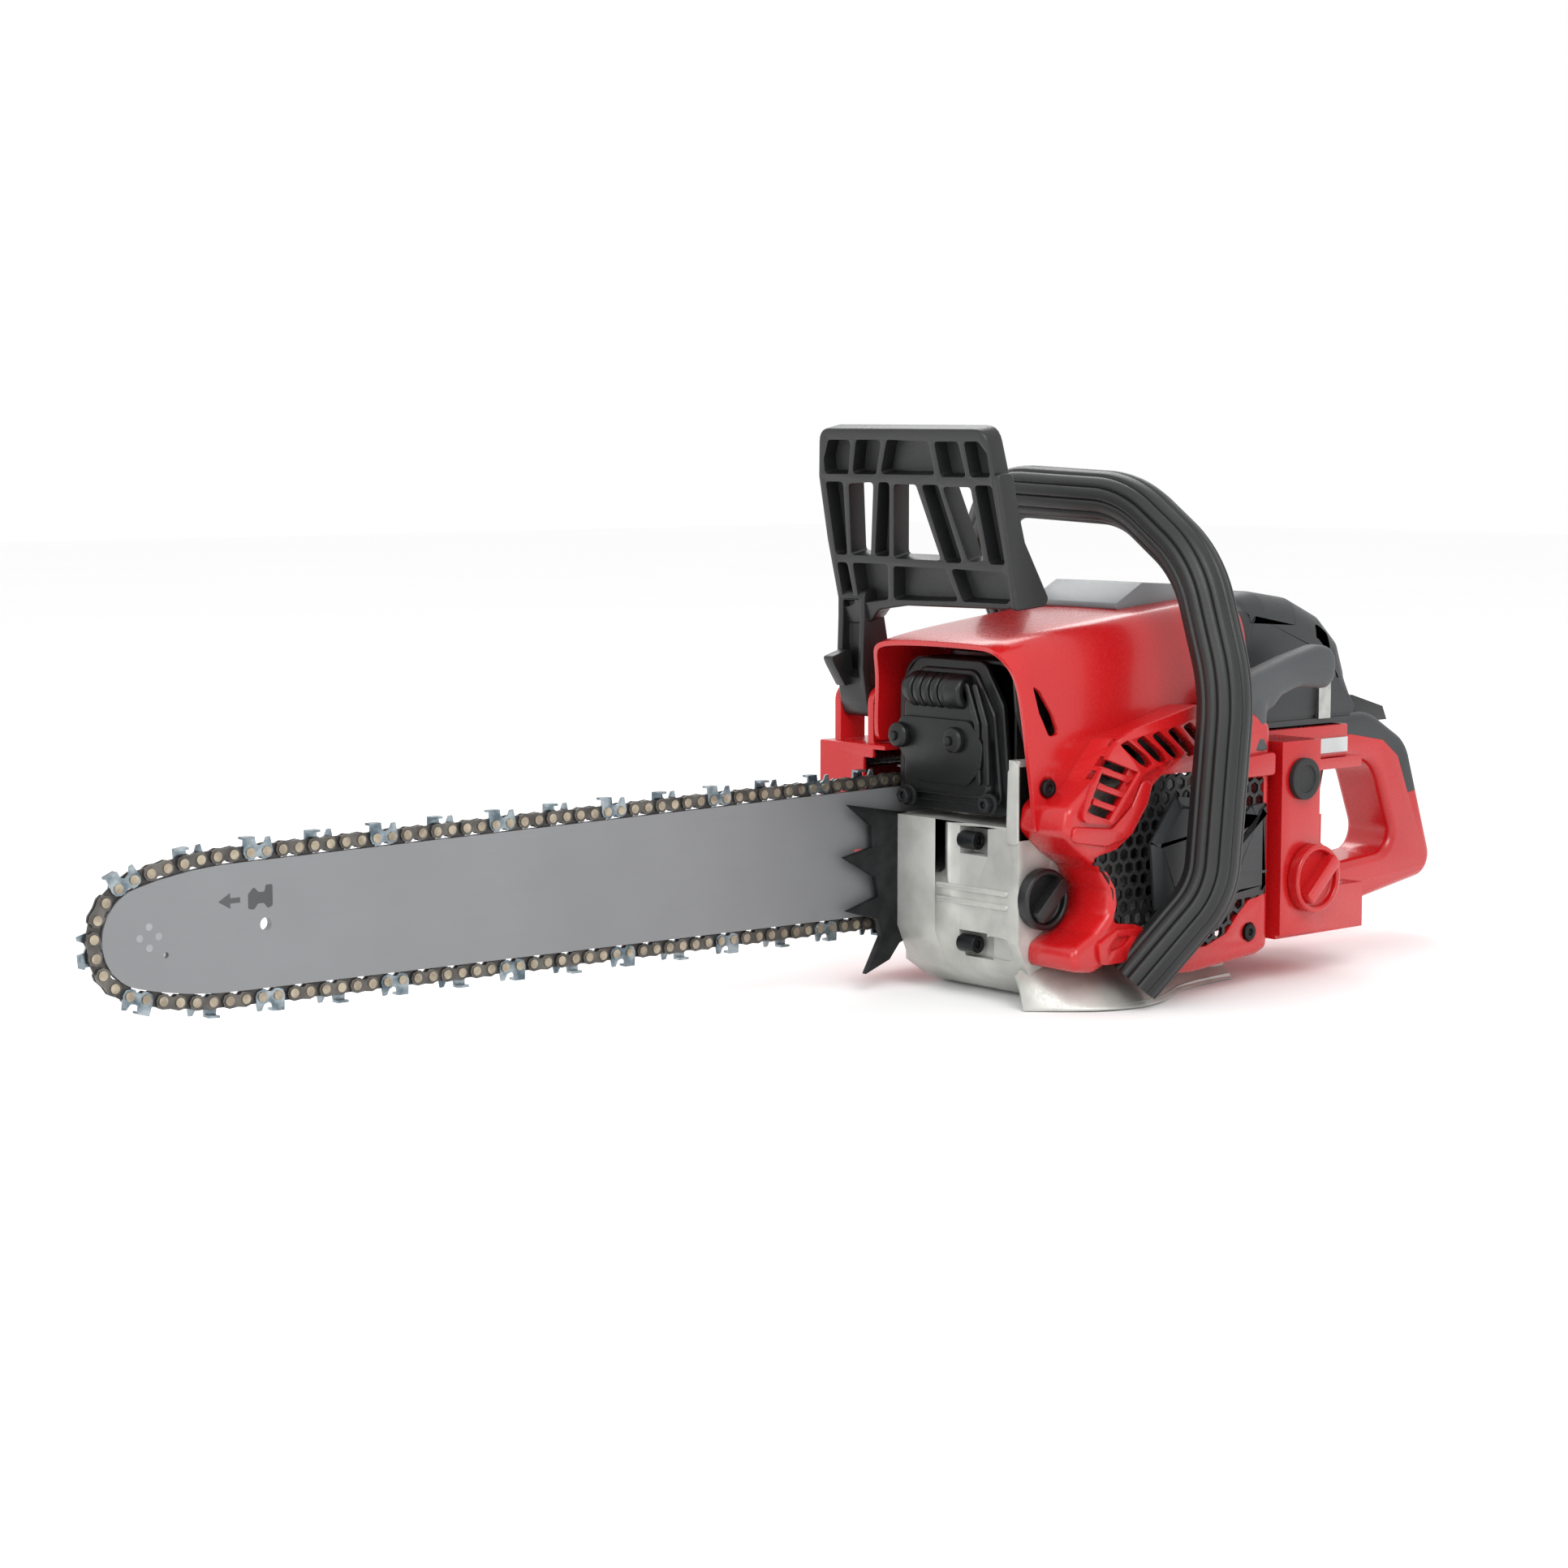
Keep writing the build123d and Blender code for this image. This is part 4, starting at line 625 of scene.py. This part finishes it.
ledge = plate("grip_ledge", rounded([(33, 111), (66, 111), (66, 123.4), (33, 121)], 2.5, 4), "y",
              START_OUT - 3.5, START_OUT + 12)
soften(ledge, 1.4, 3)
lug_ring = plate("lug_pad", rounded([(-64, 25), (-48, 25), (-26, 36), (-34, 41), (-52, 42), (-66, 36)],
                                    5, 4), "y", START_OUT - 2.2, START_OUT + 1)
cut(lug_ring, plate("lug_hole", rounded([(-59, 31), (-48, 33), (-41, 38), (-52, 38.5)], 3, 5), "y",
                    START_OUT - 5, START_OUT + 0.4))
soften(lug_ring, 0.8, 2, 40)
band = plate("sweep_band", rounded([(-84, 88), (-60, 84), (-44, 88), (-30, 104), (-27, 114), (-34, 116),
                                    (-42, 103), (-56, 93), (-84, 96)], 4, 4), "y",
             START_OUT - 1.8, START_OUT + 1)
soften(band, 1.0, 3, 40)
done(join(cover, rim, *slats, ledge, lug_ring, band), red_abs, "housing", "red_abs", "starter_cover")

# ---- Cooling grille ----------------------------------------------------------
# A black honeycomb screen of six-sided cells behind the cover's window.
PITCH = 7.6               # from cell to cell
ROW_RISE = math.sqrt(3) / 2
bpy.ops.object.select_all(action="DESELECT")
bpy.ops.mesh.primitive_circle_add(vertices=6, radius=PITCH / math.sqrt(3) * MM, fill_type="NGON",
                                  rotation=(math.pi / 2, 0, 0))
comb = bpy.context.object
comb.name = "honeycomb"
bpy.ops.object.transform_apply(rotation=True)
edit(comb)
bpy.ops.mesh.inset(thickness=1.0 * MM)
bpy.ops.mesh.delete(type="FACE")
leave()
second = bpy.data.objects.new("cell", comb.data.copy())
bpy.context.scene.collection.objects.link(second)
second.data.transform(Matrix.Translation((PITCH * MM / 2, 0, PITCH * MM * ROW_RISE)))
join(comb, second)
comb.data.transform(Matrix.Translation((-76 * MM, (START_OUT + 1.2) * MM, 26 * MM)))
modify(comb, "ARRAY", count=19, use_relative_offset=False, use_constant_offset=True,
       constant_offset_displace=(PITCH * MM, 0, 0))
modify(comb, "ARRAY", count=8, use_relative_offset=False, use_constant_offset=True,
       constant_offset_displace=(0, 0, 2 * PITCH * MM * ROW_RISE))
edit(comb)
bpy.ops.mesh.remove_doubles(threshold=0.00005)
bpy.ops.mesh.normals_make_consistent(inside=False)
leave()
modify(comb, "SOLIDIFY", thickness=1.6 * MM, offset=0)
MIDDLE_Z = 75.0           # of the window
lap = [(x * 1.03 - 0.2, (z - MIDDLE_Z) * 1.04 + MIDDLE_Z) for x, z in WINDOW]
keep = plate("comb_outline", rounded(lap, 5, 4), "y", START_OUT - 5, START_OUT + 8)
modify(comb, "BOOLEAN", object=keep, operation="INTERSECT", solver="EXACT")
bpy.data.objects.remove(keep)
done(comb, black_nylon, "housing", "black_plastic", "starter_grille")

# ---- Badge panel -------------------------------------------------------------
# A grey faceted panel over the starter's hub; its printed name is left off.
BADGE = [(-8, 105), (-27, 83), (-23, 48), (-6, 38), (24, 33), (40, 48), (62, 49), (62, 97), (50, 96),
         (42, 90), (33, 99), (12, 103)]
badge = plate("badge_facets", rounded(BADGE, 1.5, 2), "y", START_OUT + 1, START_OUT - 0.6)
pick(badge)
bpy.ops.object.mode_set(mode="EDIT")
bpy.ops.mesh.select_mode(type="FACE")
leave()
for face in badge.data.polygons:
    face.select = face.normal.y < -0.9
bpy.ops.object.mode_set(mode="EDIT")
bpy.ops.mesh.inset(thickness=5.5 * MM, depth=0)
bpy.ops.transform.translate(value=(0, -2.2 * MM, 0))
leave()
soften(badge, 0.4, 2, 10)
stripe = plate("badge_line", [(-12, 62), (60, 62), (60, 60.6), (-13, 60.6)], "y",
               START_OUT - 2.9, START_OUT - 2.6)
done(join(badge, stripe), grey_nylon, "housing", "grey_plastic", "badge_panel", smooth=12)

# ---- Pull handle -------------------------------------------------------------
# The recoil starter's T handle, soft dark grey: a thick neck that flares into the bar.
gx, gy, gz = 58.0, -75.0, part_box("pull_handle")[0][2] / MM      # the rope's eyelet
pull = plate("pull_bar", [(34, 150), (40, 158), (58, 165), (84, 172), (108, 177), (119, 176), (122, 168),
                          (121, 158), (115, 153), (108, 154), (92, 155), (78, 151), (70, 144), (48, 144)],
             "y", gy - 8, gy + 8)
soften(pull, 5.5, 4, 60)
neck = rod("pull_neck", (gx, gy), 8.6, "z", gz + 0.6, 150, 32, tip=9.5)
modify(neck, "BEVEL", width=1.2 * MM, segments=3, limit_method="ANGLE", angle_limit=math.radians(40))
collar = rod("pull_collar", (gx, gy), 10.2, "z", gz + 0.3, gz + 7, 32, tip=9.0)
soften(collar, 1.0, 3)
modify(pull, "BOOLEAN", object=neck, operation="UNION", solver="EXACT")
bpy.data.objects.remove(neck)
modify(pull, "REMESH", mode="VOXEL", voxel_size=1.1 * MM, use_smooth_shade=True)
modify(pull, "SMOOTH", factor=0.6, iterations=14)
soft_grey = plastic("soft_touch_grey_elastomer", "#3E4143", "#474A4C", (0.5, 0.62), 1.2, 0.02)
done(join(pull, collar), soft_grey, "pull_handle", "grey_plastic", "pull_handle", smooth=60)

# ---- Top cover ---------------------------------------------------------------
# A large gloss red moulding over cylinder and muffler. Its front edge arches over the
# muffler as a visor; a slim vent and a screw well are moulded in its starter side.
# Each row: x at the ridge, x at the foot, height of the foot, height of the ridge.
STATIONS = ((-98, -89, 88, 183), (-90, -84, 95, 185.5), (-78, -76, 108, 187.5), (-60, -60, 124, 190),
            (-30, -30, 141, 193.5), (8, 8, 150, 198), (46, 46, 149, 201), (60, 60, 147, 202),
            (72, 72, 146, 201))
START_Y, CLUTCH_Y = -64.0, 53.0
rows = []
for i, (ridge_x, foot_x, foot_z, top_z) in enumerate(STATIONS):
    t = min(1.0, (ridge_x + 98) / 110)
    lean = 13 - 6 * t
    shoulder = top_z - 14
    middle = (foot_z + shoulder) / 2
    side_x = foot_x * 0.7 + ridge_x * 0.3
    row = [(foot_x, START_Y, foot_z), (foot_x, START_Y + 1.0, foot_z + (middle - foot_z) * 0.5),
           (side_x, START_Y + 2.5, middle), (side_x, START_Y + lean * 0.62, shoulder - 4),
           (ridge_x * 0.5 + side_x * 0.5, START_Y + lean + 1, shoulder + 6),
           (ridge_x, START_Y + lean + 6.5, top_z - 2.2), (ridge_x, START_Y + lean + 13, top_z - 0.4),
           (ridge_x, -30, top_z), (ridge_x, -5, top_z + 0.4), (ridge_x, 20, top_z),
           (ridge_x, CLUTCH_Y - 15, top_z - 1), (ridge_x, CLUTCH_Y - 8, top_z - 4),
           (side_x, CLUTCH_Y - 3, shoulder), (foot_x, CLUTCH_Y - 1, 160), (foot_x, CLUTCH_Y, 145),
           (foot_x, CLUTCH_Y, 129)]
    rows.append(row)
top = skin("top_cover_shell", rows, 3, 2.6)
slit = plate("side_vent", rounded([(-84, 164), (-79, 160), (-73, 149), (-70, 139), (-77, 138), (-82, 150)],
                                  2.5, 4), "y", -72, -40)
well = rod("screw_well", (-80, 113), 5.4, "y", -70, START_Y + 1.6, 36)
cut(top, slit, well)
soften(top, 0.5, 2, 50)
done(top, red_abs, "housing", "red_abs", "top_cover", smooth=40)
# Painted shade: a thin black sheet just inside the side vent stands in for the dark inside of the cover seen
# through the slit.
vent_shade_sheet = plate("vent_painted_shade_sheet", rounded([(-88, 168), (-76, 165), (-67, 150), (-66, 134), (-80, 134),
                                         (-86, 150)], 2, 3), "y", -48, -46.5)
done(vent_shade_sheet, black_nylon, "housing", "black_plastic")

# ---- Screws ------------------------------------------------------------------
# Blackened socket heads hold the covers, the spike and the cylinder's foot; the two
# bolts of the crankcase's front wall lie in their own pockets.
screws = list(bolts)
for x, z, y in ((-80, 113, START_Y + 0.6), (50, 30, START_OUT + 0.8)):
    head = rod("torx_head", (x, z), 4.4, "y", y - 2.2, y + 1, 36)
    cut(head, rod("torx_socket", (x, z), 1.9, "y", y - 4, y - 0.6, 6))
    soften(head, 0.6, 3)
    screws.append(head)
for z in (38, 84):
    head = rod("spike_screw", (-84, z), 3.2, "y", 39.5, 42.5, 36)
    soften(head, 0.6, 3)
    screws.append(head)
for x in (-26.5, 26.5):
    for y in (-18.5, 34.5):
        head = rod("cylinder_bolt", (x, y), 3.5, "z", 116, 120, 36)
        soften(head, 0.6, 3)
        screws.append(head)
bolt_black = metal("oiled_black_bolt_steel", "#18191A", "#26282A", (0.3, 0.45), 1.0, 0.01, metallic=0.7)
done(join(*screws), bolt_black, "housing", "black_steel", "housing_screws")

# ---- Top panel and air filter cover --------------------------------------------
# Grey nylon mouldings: a raised panel on the top cover, and the filter's own hood
# behind it, rounded at its back and held by two spring clips.
pale_grey = plastic("painted_pale_grey_nylon", "#6E7274", "#7C8082", (0.34, 0.46), 1.0, 0.01)
panel = plate("top_panel_raised", rounded([(2, 200), (22, 210.5), (60, 208.5), (74, 203.5), (74, 199),
                                           (2, 197)], 2, 3), "y", -32, 30)
soften(panel, 2.0, 3, 30)
done(panel, pale_grey, "housing", "grey_plastic", "top_panel")
HOOD_LEFT, HOOD_RIGHT = -52.0, 48.0
hood = plate("filter_hood", rounded([(74, 131), (74, 202), (98, 204), (126, 200), (150, 190), (166, 176),
                                     (173, 158), (174, 131)], 12, 6), "y", HOOD_LEFT, HOOD_RIGHT)


def on_upper_side(ends):
    """True for an edge of either side face, above the tray."""
    left = all(end.y < HOOD_LEFT * MM + 1e-4 for end in ends)
    right = all(end.y > HOOD_RIGHT * MM - 1e-4 for end in ends)
    return (left or right) and all(end.z > 0.14 for end in ends)


round_edges(hood, on_upper_side, 15, 6)
notch = plate("clip_notch", rounded([(140, 186), (152, 180), (152, 158), (140, 158)], 2, 3), "y", -60, -46)
groove = plate("hood_groove", [(60, 134), (60, 136), (190, 136), (190, 134)], "y", -60, -51.2)
cut(hood, notch, groove)
soften(hood, 0.8, 2, 40)
done(hood, grey_nylon, "housing", "grey_plastic", "filter_cover", smooth=40)
done(recast("filter_base", "filter_tray", 1.0, 2), red_abs, "housing", "red_abs", "filter_base")

# ---- Tank and rear handle ----------------------------------------------------
# One red nylon moulding: fuel tank, the column with the filler, and the rear handle's
# loop, which is hollow and rounded where the hand goes.
tank_block = recast("tank_and_handle", "tank_and_loop", 2.6, 4, 40)
done(tank_block, red_abs, "housing", "red_abs", "tank_and_handle", smooth=40)
done(recast("grip_overlay", "grip_pad", 2.2, 4, 40), grey_nylon, "housing", "grey_plastic", "grip_overlay",
     smooth=40)
done(recast("throttle_trigger", "trigger_lever", 1.2, 3), black_nylon, "throttle_trigger", "black_plastic",
     "throttle_trigger")
done(recast("throttle_lockout", "lockout_lever", 1.2, 3), black_nylon, "throttle_lockout", "black_plastic",
     "throttle_lockout")

# ---- Filler caps and plug ------------------------------------------------------
# Screw caps with a raised bar for the fingers: dished red on the fuel, black on the oil.
# Above the fuel cap a round rubber plug closes the hole of the rear vibration mount.
for node, name, material, slot, radius in (("fuel_cap", "fuel_filler_cap", red_abs, "red_abs", 18.0),
                                           ("oil_cap", "oil_filler_cap", black_nylon, "black_plastic", 15.5)):
    low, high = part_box(node)
    cx, cz = (low[0] + high[0]) / 2 / MM, (low[2] + high[2]) / 2 / MM
    y = low[1] / MM
    cap = rod(name, (cx, cz), radius, "y", y + 4, high[1] / MM - 8, 64)
    dish = rod("cap_dish", (cx, cz), radius - 3.2, "y", y + 2, y + 7.5, 64)
    cut(cap, dish)
    soften(cap, 1.3, 3)
    bar = plate("cap_bar", rounded([(cx - radius + 3, cz - 4.2), (cx + radius - 3, cz - 2.8),
                                    (cx + radius - 3, cz + 4.2), (cx - radius + 3, cz + 2.8)], 1.5, 3), "y",
                y, y + 9)
    soften(bar, 1.2, 3)
    bar.data.transform(Matrix.Translation((cx * MM, 0, cz * MM)) @ Matrix.Rotation(math.radians(-40), 4, "Y")
                       @ Matrix.Translation((-cx * MM, 0, -cz * MM)))
    spigot = rod("cap_neck", (cx, cz), radius * 0.6, "y", high[1] / MM - 9, high[1] / MM, 40)
    done(join(cap, bar, spigot), material, node, slot, node)
low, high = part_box("mount_plug")
cx, cz, y = (low[0] + high[0]) / 2 / MM, (low[2] + high[2]) / 2 / MM, low[1] / MM
plug = rod("mount_plug_rubber", (cx, cz), 11.0, "y", y - 1.4, high[1] / MM, 56)
cut(plug, rod("plug_dish", (cx, cz), 7.2, "y", y - 4, y - 0.4, 56))
soften(plug, 0.8, 3)
done(plug, boot_rubber, "housing", "black_plastic", "mount_plug")
aluminium_strip = metal("brushed_aluminium_strip", "#BFC0C0", "#D2D3D3", (0.3, 0.42),
                        0.9, 0.004, along=(0.05, 1, 1))
dress("label_strip", aluminium_strip)

# ---- Front handle ------------------------------------------------------------
# A bent steel tube in an extruded rubber sleeve. Long flutes run down the sleeve, and
# its lower end is cut on a slant where it meets the foot.
ROUTE = ((-38, -84, 14), (-8, -108, 60), (3, -107, 160), (4, -86, 222), (5, -40, 254), (5, 78, 259),
         (66, 70, 118))
RADII = (45, 110, 60, 60, 42)
SLEEVE_R = 14.0
grip_rubber = plastic("extruded_ribbed_rubber", "#101213", "#171919", (0.38, 0.52), 0.8, 0.02, mottle_mm=40)
steel_tube = metal("black_painted_tube", "#1C1D1E", "#28292A", (0.3, 0.45), 1.0, 0.01, metallic=0.3)
dress("front_handle_tube", steel_tube)
line = [Vector(ROUTE[0])]
for i, radius in enumerate(RADII, 1):
    here = Vector(ROUTE[i])
    back, on = (Vector(ROUTE[i - 1]) - here).normalized(), (Vector(ROUTE[i + 1]) - here).normalized()
    half = back.angle(on) / 2
    reach = radius / math.tan(half)
    first, last = here + back * reach, here + on * reach
    centre = here + (back + on).normalized() * radius / math.sin(half)
    arm_a, arm_b = first - centre, last - centre
    swing = arm_a.angle(arm_b)
    for k in range(13):
        a = k / 12
        arm = arm_a * math.sin((1 - a) * swing) + arm_b * math.sin(a * swing)
        line.append(centre + arm / math.sin(swing))
line.append(Vector(ROUTE[-1]))
spine_data = bpy.data.curves.new("sleeve_spine", "CURVE")
spine_data.dimensions = "3D"
spine = spine_data.splines.new("POLY")
spine.points.add(len(line) - 1)
for point, at in zip(spine.points, line):
    point.co = (*(at * MM), 1)
section_data = bpy.data.curves.new("sleeve_section", "CURVE")
ring = section_data.splines.new("POLY")
FLUTES, STEPS = 12, 96
ring.points.add(STEPS - 1)
for k, point in enumerate(ring.points):
    angle = 2 * math.pi * k / STEPS
    wave = abs(math.sin(angle * FLUTES / 2))
    radius = SLEEVE_R - 1.5 * (1 - wave) ** 3
    point.co = (radius * math.cos(angle) * MM, radius * math.sin(angle) * MM, 0, 1)
ring.use_cyclic_u = True
section = bpy.data.objects.new("sleeve_section", section_data)
bpy.context.scene.collection.objects.link(section)
spine_data.bevel_mode = "OBJECT"
spine_data.bevel_object = section
spine_data.use_fill_caps = True
sleeve = bpy.data.objects.new("ribbed_sleeve", spine_data)
bpy.context.scene.collection.objects.link(sleeve)
pick(sleeve)
bpy.ops.object.convert(target="MESH")
sleeve = bpy.context.object
bpy.data.objects.remove(section)
edit(sleeve)
bpy.ops.mesh.bisect(plane_co=(-0.020, -0.088, 0.004), plane_no=(0.55, -0.35, -0.62),
                    use_fill=True, clear_outer=True)
bpy.ops.mesh.select_all(action="SELECT")
bpy.ops.mesh.bisect(plane_co=(0, 0, 0.0012), plane_no=(0, 0, -1), use_fill=True, clear_outer=True)
bpy.ops.mesh.select_all(action="SELECT")
bpy.ops.mesh.normals_make_consistent(inside=False)
leave()
done(sleeve, grip_rubber, "housing", "grip_rubber", "front_handle_grip", smooth=40)
